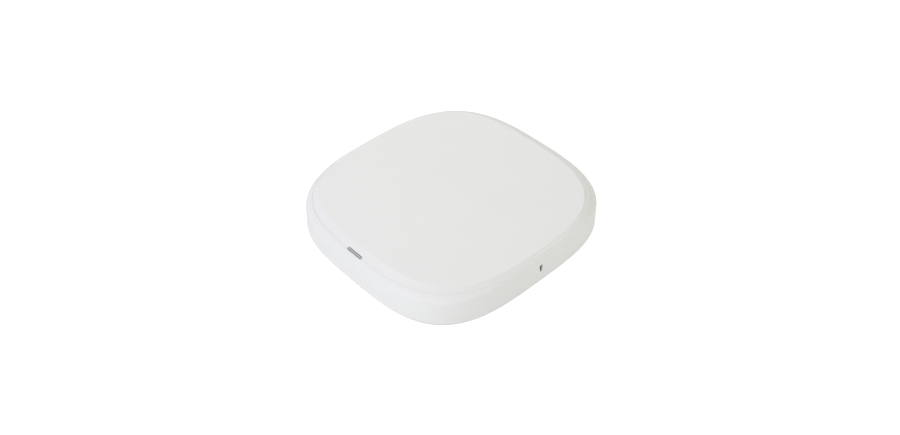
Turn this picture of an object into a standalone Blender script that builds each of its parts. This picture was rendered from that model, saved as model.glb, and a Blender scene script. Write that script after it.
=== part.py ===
"""Ceiling access point, lying face up on its mounting bracket.

Frame: metres, +Z up.  The origin is the middle of the ceiling face of the bracket.
-Y is the side with the status light, +X the side with the lock slot, +Y the side
with the cable exit.  Each physical piece is one object.
"""

import math

import bmesh
import bpy
from mathutils import Matrix, Vector

# ---------------------------------------------------------------- driving dimensions

SEGMENTS = 80                    # points round each body outline
SMALL_ROUND = 16                 # sides of holes and small screws
LARGE_ROUND = 64                 # sides of the bracket and its recess
CORNER_BIAS = 0.10               # how strongly those points gather at the corners

# Body outlines: half width in X, half width in Y, superellipse exponent.
RIM_OUTLINE = (0.0947, 0.0999, 3.40)       # bottom rim of the side wall
WALL_OUTLINE = (0.0944, 0.0994, 3.40)      # top edge of the side wall
SEAM_OUTLINE = (0.0936, 0.0958, 3.00)      # lower edge of the cap
PANEL_OUTLINE = (0.0908, 0.0893, 3.04)     # edge of the flat front panel

RIM_Z = 0.0004                   # rim of the side wall, just clear of the ceiling
TOP_Z = 0.0279                   # front panel
SEAM_Z = TOP_Z - 0.0030          # lower edge of the cap's chamfer
SHOULDER_SLOPE = 0.90            # fall of the shoulder for each metre outward

GAP = 0.0003                     # clearance between neighbouring pieces
SKIN = 0.0024                    # moulded wall thickness
BELOW_Z = -0.0010                # cuts from the ceiling side start here

# Base plate and the pockets in its underside.
PLATE_Z = 0.0010
PLATE_TOP_Z = 0.0030
CAST_SKIN = 0.0020
RECESS_CENTRE = Vector((0.0, -0.018, 0.0))
RECESS_RADIUS = 0.0515
RECESS_FLOOR_Z = 0.0050
BAY_HALF_WIDTH = 0.0420
BAY_FRONT_Y = 0.0595             # face of the port wall
BAY_BACK_Y = 0.0920
BAY_CEILING_Z = 0.0149
BAY_ROOF = 0.0015
BAY_CORNER = 0.0030              # radius of the bay's upright corners
EXIT_HALF_WIDTH = 0.0170         # cable exit through the +Y wall
EXIT_TOP_Z = 0.0080
EXIT_CORNER = 0.0025
GROOVE_XS = (0.0590, 0.0635, 0.0680, 0.0725, 0.0770)   # cooling grooves in the underside
GROOVE_YS = (-0.0580, 0.0340)
GROOVE_WIDTH = 0.0022
GROOVE_DEPTH = 0.0008

# Main board.
BOARD_Z = 0.0170
BOARD_TOP_Z = BOARD_Z + 0.0016
BOARD_HALF_X = 0.0640
BOARD_LOW_Y = -0.0700
BOARD_HIGH_Y = 0.0620
UNDER_BOARD_Z = BOARD_Z - GAP    # top of the pieces that hang from the board
ON_BOARD_Z = BOARD_TOP_Z + GAP   # foot of the pieces that stand on the board
BOARD_SCREWS = ((-0.058, -0.062), (0.058, -0.062), (-0.058, 0.012), (0.058, 0.012), (0.018, 0.036))

# Chips and the pedestals that cool them.
PROCESSOR_Y = -0.0120
PROCESSOR_SIZE = 0.0230
PROCESSOR_PEDESTAL_Z = 0.0133
RADIO_X = 0.0380
RADIO_Y = -0.0120
RADIO_PEDESTAL_Z = 0.0118

# Antennas on the board: middle of each.
LOW_BAND_PLACES = ((-0.034, -0.060), (0.034, -0.060), (-0.034, 0.050), (0.034, 0.050))
HIGH_BAND_PLACES = ((-0.058, -0.040), (0.058, -0.040), (-0.058, 0.034), (0.058, 0.034))

# Screws, their holes and the bosses in the housing.
BASE_SCREWS = ((-0.070, -0.075), (0.070, -0.075), (0.070, 0.075), (-0.070, 0.075))
BASE_HEAD_RADIUS = 0.0033
BASE_SHANK_RADIUS = 0.0013
SMALL_SHANK_RADIUS = 0.0012
SCREW_HOLE_RADIUS = 0.0016
BOSS_RADIUS = 0.0042
BOSS_TOP_Z = 0.0170

# Bayonet between base plate and bracket.
BRACKET_RADIUS = 0.0500
BRACKET_SHEET = 0.0015
PAD_TOP_Z = 0.0044               # raised pads that carry the keyholes
STUD_RADIUS = 0.0360             # circle on which the studs stand
STUD_ANGLES = (100.0, 220.0, 340.0)
STUD_HEAD_RADIUS = 0.0047
STUD_SHOULDER_RADIUS = 0.0026
STUD_SHANK_RADIUS = 0.0020
TWIST_DEG = 18.0                 # turn from locked to free
CEILING_BOX_RADIUS = 0.04165     # circles of the bracket's screw holes
ANCHOR_RADIUS = 0.0420

# Lock slot in the +X wall.
LOCK_SLOT_Y = 0.0003
LOCK_SLOT_Z = 0.0129
LOCK_SLOT_WIDTH = 0.0030
LOCK_SLOT_HEIGHT = 0.0070
LOCK_SKIN = 0.0017               # wall left round the slot by the pocket behind it
LOCK_FACE_X = RIM_OUTLINE[0] - SKIN - GAP      # face of the steel plate behind the slot

# Status light on the seam of the -Y side.
LIGHT_LENGTH = 0.0158
LIGHT_WIDTH = 0.0023
LIGHT_CENTRE = Vector((0.0, -0.0955, SEAM_Z + 0.0001))
LIGHT_TILT = math.radians(36.0)  # lean of the window from straight up, outward

# Ports in the bay wall: middle of each in X.
JACK_XS = (-0.027, -0.008)
USB_X = 0.0090
RESET_X = 0.0210
RESET_Z = 0.0104
BUTTON_RADIUS = 0.0014
POWER_X = 0.0320
POWER_Z = 0.0098
POWER_BORE_RADIUS = 0.0032
POWER_PIN_RADIUS = 0.0010
PORT_FACE_Y = 0.0572             # mouths of the connectors


# ---------------------------------------------------------------- helpers

def clear_scene():
    """Start from an empty scene."""
    for item in list(bpy.data.objects):
        bpy.data.objects.remove(item, do_unlink=True)


def make_material(name, colour, roughness, metallic=0.0):
    material = bpy.data.materials.new(name)
    material.use_nodes = True
    shader = material.node_tree.nodes["Principled BSDF"]
    shader.inputs["Base Color"].default_value = (*colour, 1.0)
    shader.inputs["Roughness"].default_value = roughness
    shader.inputs["Metallic"].default_value = metallic
    return material


def add_object(name, mesh_builder, material=None, smooth_angle=None):
    """Turn a bmesh into a scene object with outward normals."""
    bmesh.ops.recalc_face_normals(mesh_builder, faces=mesh_builder.faces)
    mesh = bpy.data.meshes.new(name)
    mesh_builder.to_mesh(mesh)
    mesh_builder.free()
    if smooth_angle is not None:
        mesh.shade_smooth()
        mesh.set_sharp_from_angle(angle=math.radians(smooth_angle))
    item = bpy.data.objects.new(name, mesh)
    bpy.context.collection.objects.link(item)
    if material is not None:
        mesh.materials.append(material)
    return item


def combine(item, name, mesh_builder, operation):
    """Join a shape to item, or cut it away, with a Boolean modifier and a hidden tool."""
    tool = add_object(name, mesh_builder)
    tool.hide_render = True
    tool.display_type = "WIRE"
    modifier = item.modifiers.new(name, "BOOLEAN")
    modifier.operation = operation
    modifier.solver = "EXACT"
    modifier.object = tool


def join(item, name, mesh_builder):
    combine(item, name, mesh_builder, "UNION")


def cut(item, name, mesh_builder):
    combine(item, name, mesh_builder, "DIFFERENCE")


def soften(item, width, segments=1):
    """Bevel the sharp edges of an object."""
    modifier = item.modifiers.new("soften", "BEVEL")
    modifier.width = width
    modifier.segments = segments
    modifier.limit_method = "ANGLE"
    modifier.angle_limit = math.radians(40.0)


def outline_angles():
    """Directions of the outline points, closer together towards the four corners."""
    steps = [2.0 * math.pi * index / SEGMENTS for index in range(SEGMENTS)]
    return [step + CORNER_BIAS * math.sin(4.0 * step) for step in steps]


def outline_radius(shape, inset, angle):
    """Distance from the centre to a superellipse, drawn in from its edge by inset."""
    half_x, half_y, exponent = shape
    along_x = abs(math.cos(angle) / (half_x - inset)) ** exponent
    along_y = abs(math.sin(angle) / (half_y - inset)) ** exponent
    return (along_x + along_y) ** (-1.0 / exponent)


def outline(shape, inset=0.0):
    """Points of a superellipse outline."""
    points = []
    for angle in outline_angles():
        radius = outline_radius(shape, inset, angle)
        points.append(Vector((radius * math.cos(angle), radius * math.sin(angle), 0.0)))
    return points


def at_height(points, height):
    """The same outline lifted to a height, or to one height for each point."""
    if isinstance(height, float):
        height = [height] * len(points)
    return [Vector((point.x, point.y, z)) for point, z in zip(points, height)]


def loft(loops, closed=False):
    """Skin between loops of equal length; closed joins the last loop to the first."""
    mesh_builder = bmesh.new()
    rings = [[mesh_builder.verts.new(point) for point in loop] for loop in loops]
    pairs = list(zip(rings, rings[1:]))
    if closed:
        pairs.append((rings[-1], rings[0]))
    else:
        mesh_builder.faces.new(rings[0])
        mesh_builder.faces.new(rings[-1])
    count = len(rings[0])
    for lower, upper in pairs:
        for index in range(count):
            after = (index + 1) % count
            mesh_builder.faces.new((lower[index], lower[after], upper[after], upper[index]))
    return mesh_builder


def prism(points, low_z, high_z):
    """Straight extrusion of a flat outline between two heights."""
    return loft([at_height(points, low_z), at_height(points, high_z)])


def add_box(mesh_builder, low, high):
    """Add a box between two corners to a bmesh."""
    low = Vector(low)
    high = Vector(high)
    size = high - low
    placing = Matrix.Translation((low + high) / 2.0) @ Matrix.Diagonal((*size, 1.0))
    bmesh.ops.create_cube(mesh_builder, size=1.0, matrix=placing)


def box(low, high):
    mesh_builder = bmesh.new()
    add_box(mesh_builder, low, high)
    return mesh_builder


def add_cylinder(mesh_builder, centre, radius, low, high, axis="Z", segments=20):
    """Add a cylinder; centre gives the two other coordinates, low and high its ends."""
    turn = Matrix.Identity(4)
    middle = Vector(centre)
    if axis == "Y":
        turn = Matrix.Rotation(math.radians(90.0), 4, "X")
        middle.y = (low + high) / 2.0
    else:
        middle.z = (low + high) / 2.0
    bmesh.ops.create_cone(
        mesh_builder, cap_ends=True, segments=segments, radius1=radius, radius2=radius,
        depth=high - low, matrix=Matrix.Translation(middle) @ turn)


def cylinder(centre, radius, low, high, axis="Z", segments=20):
    mesh_builder = bmesh.new()
    add_cylinder(mesh_builder, centre, radius, low, high, axis, segments)
    return mesh_builder


def lathe(profile, segments=20):
    """Turn a profile of (radius, height) steps about Z; it starts and ends on flat discs."""
    loops = []
    for radius, height in profile:
        loops.append([
            Vector((radius * math.cos(angle), radius * math.sin(angle), height))
            for angle in (2.0 * math.pi * step / segments for step in range(segments))])
    return loft(loops)


def polar(radius, degrees, centre=RECESS_CENTRE):
    angle = math.radians(degrees)
    return centre + Vector((radius * math.cos(angle), radius * math.sin(angle), 0.0))


def arc_band(radius, half_width, start, end, low_z, high_z):
    """Curved slot shape about the recess centre, with round ends; angles in degrees."""
    steps = 6
    points = []
    for step in range(steps + 1):
        points.append(polar(radius + half_width, start + (end - start) * step / steps))
    for step in range(1, steps):
        turn = end + 180.0 * step / steps
        points.append(polar(half_width, turn, polar(radius, end)))
    for step in range(steps + 1):
        points.append(polar(radius - half_width, end + (start - end) * step / steps))
    for step in range(1, steps):
        turn = start + 180.0 + 180.0 * step / steps
        points.append(polar(half_width, turn, polar(radius, start)))
    return prism(points, low_z, high_z)


def rounded_rectangle(low, high, radius, steps=4):
    """Flat outline between two corners with rounded corners."""
    points = []
    corners = ((high[0], high[1], 0.0), (low[0], high[1], 90.0),
               (low[0], low[1], 180.0), (high[0], low[1], 270.0))
    for x, y, start in corners:
        centre_x = x - math.copysign(radius, x - (low[0] + high[0]) / 2.0)
        centre_y = y - math.copysign(radius, y - (low[1] + high[1]) / 2.0)
        for step in range(steps + 1):
            angle = math.radians(start + 90.0 * step / steps)
            points.append(Vector((
                centre_x + radius * math.cos(angle), centre_y + radius * math.sin(angle), 0.0)))
    return points


def capsule(length, width, low_z, high_z, steps=6):
    """Upright prism with a capsule outline along X, centred on the origin."""
    radius = width / 2.0
    reach = length / 2.0 - radius
    points = []
    for side in (1.0, -1.0):
        for step in range(steps + 1):
            angle = math.pi * (step / steps - 0.5) + (0.0 if side > 0 else math.pi)
            x = side * reach + radius * math.cos(angle)
            points.append(Vector((x, radius * math.sin(angle), 0.0)))
    return prism(points, low_z, high_z)


# ---------------------------------------------------------------- enclosure

def shoulder_drop():
    """Fall of the shoulder from the seam to the wall edge, in each outline direction."""
    drops = []
    for angle in outline_angles():
        reach = outline_radius(WALL_OUTLINE, 0.0, angle) - outline_radius(SEAM_OUTLINE, 0.0, angle)
        drops.append(reach * SHOULDER_SLOPE)
    return drops


def build_top_cap(material):
    """Flat front panel with its crowned chamfer, and a skirt that locates it in the housing."""
    edge_round = 0.0003
    crown = 0.0002               # rise of the chamfer's middle over a straight one
    lip_z = SEAM_Z - 0.0009
    skirt_z = SEAM_Z - 0.0049
    skirt_outer = 0.0015         # outer and inner face of the skirt, in from the cap's edge
    skirt_inner = 0.0029
    ceiling_z = TOP_Z - 0.0021
    half_way = tuple((panel + seam) / 2.0 for panel, seam in zip(PANEL_OUTLINE, SEAM_OUTLINE))
    loops = [
        at_height(outline(PANEL_OUTLINE, edge_round), TOP_Z),
        at_height(outline(PANEL_OUTLINE), TOP_Z - edge_round / 2.0),
        at_height(outline(half_way), (TOP_Z + SEAM_Z) / 2.0 + crown),
        at_height(outline(SEAM_OUTLINE), SEAM_Z),
        at_height(outline(SEAM_OUTLINE), lip_z),
        at_height(outline(SEAM_OUTLINE, skirt_outer), lip_z),
        at_height(outline(SEAM_OUTLINE, skirt_outer), skirt_z),
        at_height(outline(SEAM_OUTLINE, skirt_inner), skirt_z),
        at_height(outline(SEAM_OUTLINE, skirt_inner), ceiling_z - 0.0010),
        at_height(outline(PANEL_OUTLINE, skirt_inner), ceiling_z),
    ]
    cap = add_object("top_cap", loft(loops), material, smooth_angle=20.0)
    cut(cap, "cut_cap_light_window", window_bar(LIGHT_LENGTH, LIGHT_WIDTH, -0.0060, 0.0040))


def window_bar(length, width, low_z, high_z):
    """Capsule bar that leans outward through the seam on the -Y side."""
    mesh_builder = capsule(length, width, low_z, high_z)
    placing = Matrix.Translation(LIGHT_CENTRE) @ Matrix.Rotation(LIGHT_TILT, 4, "X")
    bmesh.ops.transform(mesh_builder, matrix=placing, verts=mesh_builder.verts)
    return mesh_builder


def build_side_housing(material):
    """Moulded ring: side wall, sloping shoulder and the ledge the cap sits on."""
    ledge_z = SEAM_Z - 0.0012
    ledge_under_z = SEAM_Z - 0.0034
    ledge_inset = 0.0012
    opening_z = SEAM_Z - GAP
    roof = 0.0034                # depth of the shoulder's skin, measured upright
    edge_round = 0.0006          # the wall's top edge is rounded in two flats
    rim_chamfer = 0.0005
    drops = shoulder_drop()
    edge = [SEAM_Z - drop for drop in drops]
    edge_start = [z + edge_round * 0.6 * min(1.0, drop / edge_round) for z, drop in zip(edge, drops)]
    loops = [
        at_height(outline(SEAM_OUTLINE, -GAP), ledge_z),
        at_height(outline(SEAM_OUTLINE, -GAP), opening_z),
        at_height(outline(WALL_OUTLINE, edge_round * 0.7), edge_start),
        at_height(outline(WALL_OUTLINE, edge_round * 0.15), [z - edge_round * 0.25 for z in edge]),
        at_height(outline(WALL_OUTLINE), [z - edge_round * 1.3 for z in edge]),
        at_height(outline(RIM_OUTLINE), RIM_Z + rim_chamfer),
        at_height(outline(RIM_OUTLINE, rim_chamfer), RIM_Z),
        at_height(outline(RIM_OUTLINE, SKIN), RIM_Z),
        at_height(outline(RIM_OUTLINE, SKIN), [z - roof for z in edge]),
        at_height(outline(SEAM_OUTLINE, ledge_inset), ledge_under_z),
        at_height(outline(SEAM_OUTLINE, ledge_inset), ledge_z),
    ]
    housing = add_object("side_housing", loft(loops, closed=True), material, smooth_angle=30.0)
    bosses = bmesh.new()
    holes = bmesh.new()
    for x, y in BASE_SCREWS:
        place = (x, y, 0.0)
        add_cylinder(bosses, place, BOSS_RADIUS, PLATE_TOP_Z + GAP, BOSS_TOP_Z, segments=SMALL_ROUND)
        add_cylinder(holes, place, SCREW_HOLE_RADIUS, 0.0, BOSS_TOP_Z - 0.0020, segments=SMALL_ROUND)
    join(housing, "join_housing_bosses", bosses)
    for index, (x, y) in enumerate(BASE_SCREWS, 1):
        join(housing, f"join_housing_rib_{index}", boss_rib(x, y))
    cut(housing, "cut_housing_screw_holes", holes)
    cut(housing, "cut_housing_light_window", window_bar(LIGHT_LENGTH, LIGHT_WIDTH, -0.0060, 0.0040))
    cut(housing, "cut_housing_lock_slot", lock_slot(RIM_OUTLINE[0] - 2.0 * SKIN, RIM_OUTLINE[0] + SKIN))
    cut(housing, "cut_housing_lock_pocket", lock_pocket())
    cut(housing, "cut_housing_cable_exit", exit_tunnel(BAY_BACK_Y, RIM_OUTLINE[1] + SKIN))


def exit_tunnel(low_y, high_y):
    """Round-cornered tunnel along Y for the cables, open towards the ceiling."""
    below = -0.0080
    section = rounded_rectangle(
        (-EXIT_HALF_WIDTH, below), (EXIT_HALF_WIDTH, EXIT_TOP_Z), EXIT_CORNER)
    sides = [[Vector((point.x, y, point.y)) for point in section] for y in (low_y, high_y)]
    return loft(sides)


def boss_rib(x, y):
    """Rib that ties a screw boss to the wall along the corner diagonal."""
    half_thickness = 0.0011
    start = BOSS_RADIUS / 2.0
    reach = 0.0078
    mesh_builder = box(
        (start, -half_thickness, PLATE_TOP_Z + 2.0 * GAP), (reach, half_thickness, BOSS_TOP_Z - 0.0010))
    placing = Matrix.Translation((x, y, 0.0)) @ Matrix.Rotation(math.atan2(y, x), 4, "Z")
    bmesh.ops.transform(mesh_builder, matrix=placing, verts=mesh_builder.verts)
    return mesh_builder


def lock_slot(low_x, high_x):
    """Upright capsule that runs along X through the +X wall."""
    mesh_builder = capsule(LOCK_SLOT_HEIGHT, LOCK_SLOT_WIDTH, low_x, high_x)
    placing = Matrix.Translation((0.0, LOCK_SLOT_Y, LOCK_SLOT_Z)) @ Matrix.Rotation(
        math.radians(90.0), 4, "Y")
    bmesh.ops.transform(mesh_builder, matrix=placing, verts=mesh_builder.verts)
    return mesh_builder


def lock_pocket():
    """Pocket in the inside of the wall that thins it round the lock slot."""
    half_width = 0.0060
    half_height = LOCK_SLOT_HEIGHT / 2.0 + 0.0025
    return box((LOCK_FACE_X - SKIN, LOCK_SLOT_Y - half_width, LOCK_SLOT_Z - half_height),
               (RIM_OUTLINE[0] - LOCK_SKIN, LOCK_SLOT_Y + half_width, LOCK_SLOT_Z + half_height))


def lock_screw_place():
    """Middle of the screw that holds the lock plate's foot."""
    return Vector((LOCK_FACE_X - 0.0075, LOCK_SLOT_Y, 0.0))


def build_lock_plate(material, screw_material):
    """Steel angle behind the lock slot, screwed to the base plate."""
    sheet = 0.0012
    foot_z = PLATE_TOP_Z + GAP
    foot_length = 0.0120
    top_z = 0.0200
    half_width = 0.0080
    profile = [
        Vector((LOCK_FACE_X, 0.0, foot_z)),
        Vector((LOCK_FACE_X, 0.0, top_z)),
        Vector((LOCK_FACE_X - sheet, 0.0, top_z)),
        Vector((LOCK_FACE_X - sheet, 0.0, foot_z + sheet)),
        Vector((LOCK_FACE_X - foot_length, 0.0, foot_z + sheet)),
        Vector((LOCK_FACE_X - foot_length, 0.0, foot_z)),
    ]
    sides = [[point + Vector((0.0, LOCK_SLOT_Y + side * half_width, 0.0)) for point in profile]
             for side in (-1.0, 1.0)]
    plate = add_object("lock_slot_plate", loft(sides), material)
    cut(plate, "cut_plate_lock_slot", lock_slot(LOCK_FACE_X - SKIN, LOCK_FACE_X + SKIN))
    cut(plate, "cut_plate_screw_hole", cylinder(
        lock_screw_place(), SCREW_HOLE_RADIUS, 0.0, foot_z + 2.0 * sheet, segments=SMALL_ROUND))
    head_z = foot_z + sheet + GAP
    screw = lathe([
        (SMALL_SHANK_RADIUS, PLATE_Z + 0.0006), (SMALL_SHANK_RADIUS, head_z),
        (0.0024, head_z), (0.0024, head_z + 0.0015),
    ], segments=SMALL_ROUND)
    item = add_object("lock_plate_screw", screw, screw_material, smooth_angle=40.0)
    item.location = lock_screw_place()


def build_light_pipe(material):
    """Smoky window in the seam, just proud of it, with a leg that reaches the light on the board."""
    head = window_bar(LIGHT_LENGTH - 2.0 * GAP, LIGHT_WIDTH - 2.0 * GAP, -0.0066, 0.0004)
    pipe = add_object("light_pipe", head, material, smooth_angle=40.0)
    leg_half_width = 0.0030
    leg_low_z = ON_BOARD_Z - 0.0004
    join(pipe, "join_light_pipe_leg", box(
        (-leg_half_width, LIGHT_CENTRE.y + 0.0031, leg_low_z),
        (leg_half_width, BOARD_LOW_Y - GAP, leg_low_z + 0.0018)))


# ---------------------------------------------------------------- base plate

def build_base_plate(material):
    """Die-cast plate: bracket recess, port bay, heat pedestals and board posts."""
    slab = prism(outline(RIM_OUTLINE, SKIN + GAP), PLATE_Z, PLATE_TOP_Z)
    plate = add_object("base_plate", slab, material, smooth_angle=30.0)
    root_z = PLATE_Z + 0.0005    # joined shapes start inside the slab
    join(plate, "join_base_dish", cylinder(
        RECESS_CENTRE, RECESS_RADIUS + CAST_SKIN, root_z, RECESS_FLOOR_Z + CAST_SKIN, segments=LARGE_ROUND))
    bay_shell = rounded_rectangle(
        (-BAY_HALF_WIDTH - CAST_SKIN, BAY_FRONT_Y - CAST_SKIN),
        (BAY_HALF_WIDTH + CAST_SKIN, BAY_BACK_Y + CAST_SKIN), BAY_CORNER + CAST_SKIN)
    join(plate, "join_base_bay", prism(bay_shell, root_z, BAY_CEILING_Z + BAY_ROOF))
    join(plate, "join_base_exit", box(
        (-EXIT_HALF_WIDTH - CAST_SKIN, BAY_BACK_Y + 0.0005, root_z),
        (EXIT_HALF_WIDTH + CAST_SKIN, RIM_OUTLINE[1] - SKIN - 0.0007, EXIT_TOP_Z + CAST_SKIN)))
    join(plate, "join_base_posts", base_posts())
    cut(plate, "cut_base_recess", cylinder(
        RECESS_CENTRE, RECESS_RADIUS, BELOW_Z, RECESS_FLOOR_Z, segments=LARGE_ROUND))
    bay = rounded_rectangle(
        (-BAY_HALF_WIDTH, BAY_FRONT_Y), (BAY_HALF_WIDTH, BAY_BACK_Y), BAY_CORNER)
    cut(plate, "cut_base_bay", prism(bay, BELOW_Z, BAY_CEILING_Z))
    cut(plate, "cut_base_exit", exit_tunnel(BAY_BACK_Y - 0.0020, RIM_OUTLINE[1]))
    cut(plate, "cut_base_ports", port_openings())
    cut(plate, "cut_base_holes", base_holes())
    cut(plate, "cut_base_counterbores", base_counterbores())
    cut(plate, "cut_base_grooves", base_grooves())


def base_posts():
    """Board posts and heat pedestals, as separate columns rooted in the plate."""
    post_radius = 0.0038
    root_z = PLATE_Z + 0.0008
    mesh_builder = bmesh.new()
    for x, y in BOARD_SCREWS:
        add_cylinder(mesh_builder, (x, y, 0.0), post_radius, root_z, BOARD_Z - GAP, segments=SMALL_ROUND)
    half = PROCESSOR_SIZE / 2.0 + 0.0015
    add_box(mesh_builder, (-half, PROCESSOR_Y - half, RECESS_FLOOR_Z + 0.0010),
            (half, PROCESSOR_Y + half, PROCESSOR_PEDESTAL_Z))
    half_x, half_y = 0.0120, 0.0100
    for side in (-1.0, 1.0):
        middle = side * RADIO_X
        add_box(mesh_builder, (middle - half_x, RADIO_Y - half_y, root_z),
                (middle + half_x, RADIO_Y + half_y, RADIO_PEDESTAL_Z))
    return mesh_builder


def port_openings():
    """Openings in the wall between the bay and the connectors."""
    near = BAY_FRONT_Y - CAST_SKIN - 0.0010
    far = BAY_FRONT_Y + 0.0010
    half_width = 0.0066
    top_z = 0.0142
    jack_low_z = 0.0044
    usb_low_z = 0.0096
    mesh_builder = bmesh.new()
    for x in JACK_XS:
        add_box(mesh_builder, (x - half_width, near, jack_low_z), (x + half_width, far, top_z))
    add_box(mesh_builder, (USB_X - half_width, near, usb_low_z), (USB_X + half_width, far, top_z))
    add_cylinder(mesh_builder, (RESET_X, 0.0, RESET_Z), BUTTON_RADIUS + GAP, near, far,
                 axis="Y", segments=SMALL_ROUND)
    add_cylinder(mesh_builder, (POWER_X, 0.0, POWER_Z), POWER_BORE_RADIUS + 0.0004, near, far, axis="Y")
    return mesh_builder


def base_holes():
    """Screw holes for the housing, the board and the lock plate, and the stud holes."""
    mesh_builder = bmesh.new()
    for x, y in BASE_SCREWS:
        add_cylinder(mesh_builder, (x, y, 0.0), SCREW_HOLE_RADIUS + GAP, BELOW_Z, 0.0060,
                     segments=SMALL_ROUND)
    for x, y in BOARD_SCREWS:
        add_cylinder(mesh_builder, (x, y, 0.0), SCREW_HOLE_RADIUS, 0.0095, 0.0180, segments=SMALL_ROUND)
    for angle in STUD_ANGLES:
        add_cylinder(mesh_builder, polar(STUD_RADIUS, angle), STUD_SHANK_RADIUS + GAP,
                     BELOW_Z, 0.0100, segments=SMALL_ROUND)
    add_cylinder(mesh_builder, lock_screw_place(), SMALL_SHANK_RADIUS + GAP, BELOW_Z, 0.0060,
                 segments=SMALL_ROUND)
    return mesh_builder


def base_counterbores():
    """Recesses for the heads of the base screws."""
    mesh_builder = bmesh.new()
    for x, y in BASE_SCREWS:
        add_cylinder(mesh_builder, (x, y, 0.0), BASE_HEAD_RADIUS + 0.0005, BELOW_Z, PLATE_Z + 0.0010,
                     segments=SMALL_ROUND)
    return mesh_builder


def base_grooves():
    """Cooling grooves on both sides of the recess."""
    mesh_builder = bmesh.new()
    for side in (-1.0, 1.0):
        for x in GROOVE_XS:
            low_x = side * x - GROOVE_WIDTH / 2.0
            add_box(mesh_builder, (low_x, GROOVE_YS[0], BELOW_Z),
                    (low_x + GROOVE_WIDTH, GROOVE_YS[1], PLATE_Z + GROOVE_DEPTH))
    return mesh_builder


def build_base_screws(material):
    """Four screws with hexagon sockets that hold the plate to the housing bosses."""
    head_z = PLATE_Z - 0.0004
    head_top_z = PLATE_Z + 0.0010 - GAP
    tip_z = 0.0130
    socket_radius = 0.0013
    for index, (x, y) in enumerate(BASE_SCREWS, 1):
        screw = lathe([
            (BASE_HEAD_RADIUS, head_z), (BASE_HEAD_RADIUS, head_top_z),
            (BASE_SHANK_RADIUS, head_top_z), (BASE_SHANK_RADIUS, tip_z),
        ], segments=SMALL_ROUND)
        item = add_object(f"base_screw_{index}", screw, material, smooth_angle=40.0)
        item.location = (x, y, 0.0)
        cut(item, f"cut_base_screw_socket_{index}", cylinder(
            (x, y, 0.0), socket_radius, 0.0, PLATE_Z + GAP, segments=6))


def build_board_screws(material):
    """Screws that hold the board to the posts."""
    tip_z = 0.0110
    head_radius = 0.0027
    head_height = 0.0013
    for index, (x, y) in enumerate(BOARD_SCREWS, 1):
        screw = lathe([
            (SMALL_SHANK_RADIUS, tip_z), (SMALL_SHANK_RADIUS, ON_BOARD_Z),
            (head_radius, ON_BOARD_Z), (head_radius, ON_BOARD_Z + head_height),
        ], segments=SMALL_ROUND)
        item = add_object(f"board_screw_{index}", screw, material, smooth_angle=40.0)
        item.location = (x, y, 0.0)


def build_bracket_studs(material):
    """Shouldered studs riveted through the recess floor."""
    head_chamfer = 0.0005
    head_low_z = 0.0011
    head_top_z = 0.0025
    rivet_radius = 0.0035
    rivet_z = RECESS_FLOOR_Z + CAST_SKIN + GAP
    rivet_top_z = rivet_z + 0.0010
    for index, angle in enumerate(STUD_ANGLES, 1):
        stud = lathe([
            (STUD_HEAD_RADIUS - head_chamfer, head_low_z), (STUD_HEAD_RADIUS, head_low_z + head_chamfer),
            (STUD_HEAD_RADIUS, head_top_z), (STUD_SHOULDER_RADIUS, head_top_z),
            (STUD_SHOULDER_RADIUS, RECESS_FLOOR_Z - GAP), (STUD_SHANK_RADIUS, RECESS_FLOOR_Z - GAP),
            (STUD_SHANK_RADIUS, rivet_z), (rivet_radius, rivet_z), (rivet_radius, rivet_top_z),
        ])
        item = add_object(f"bracket_stud_{index}", stud, material, smooth_angle=40.0)
        item.location = polar(STUD_RADIUS, angle)


# ---------------------------------------------------------------- bracket

def build_bracket(material):
    """Pressed sheet disc with three raised keyhole pads; it turns about the recess centre."""
    disc = cylinder((0.0, 0.0, 0.0), BRACKET_RADIUS, 0.0, BRACKET_SHEET, segments=LARGE_ROUND)
    bracket = add_object("mounting_bracket", disc, material, smooth_angle=30.0)
    bracket.location = RECESS_CENTRE
    hollow_z = PAD_TOP_Z - BRACKET_SHEET
    pad_half_width = 0.0085
    above_z = PAD_TOP_Z + 0.0016
    for index, angle in enumerate(STUD_ANGLES, 1):
        last = angle - TWIST_DEG
        pad_ends = (last - 2.0, angle + 1.0)
        slot_ends = (last, angle + 0.3)
        join(bracket, f"join_bracket_pad_{index}",
             arc_band(STUD_RADIUS, pad_half_width, *pad_ends, BRACKET_SHEET / 3.0, PAD_TOP_Z))
        cut(bracket, f"cut_bracket_hollow_{index}",
            arc_band(STUD_RADIUS, pad_half_width - BRACKET_SHEET, *pad_ends, BELOW_Z, hollow_z))
        cut(bracket, f"cut_bracket_slot_{index}",
            arc_band(STUD_RADIUS, STUD_SHOULDER_RADIUS + GAP, *slot_ends, 0.0010, above_z))
        cut(bracket, f"cut_bracket_entry_{index}",
            cylinder(polar(STUD_RADIUS, last), STUD_HEAD_RADIUS + 0.0007, 0.0010, above_z))
    cut(bracket, "cut_bracket_holes", bracket_holes())


def bracket_holes():
    """Centre opening and the screw holes for ceiling boxes and anchors."""
    centre_radius = 0.0140
    hole_radius = 0.0023
    above_z = 2.0 * BRACKET_SHEET
    mesh_builder = bmesh.new()
    add_cylinder(mesh_builder, RECESS_CENTRE, centre_radius, BELOW_Z, above_z, segments=48)
    for radius, angles in ((CEILING_BOX_RADIUS, (0.0, 180.0)), (ANCHOR_RADIUS, (30.0, 150.0, 270.0))):
        for degrees in angles:
            add_cylinder(mesh_builder, polar(radius, degrees), hole_radius, BELOW_Z, above_z,
                         segments=SMALL_ROUND)
    return mesh_builder


# ---------------------------------------------------------------- board and chips

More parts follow.
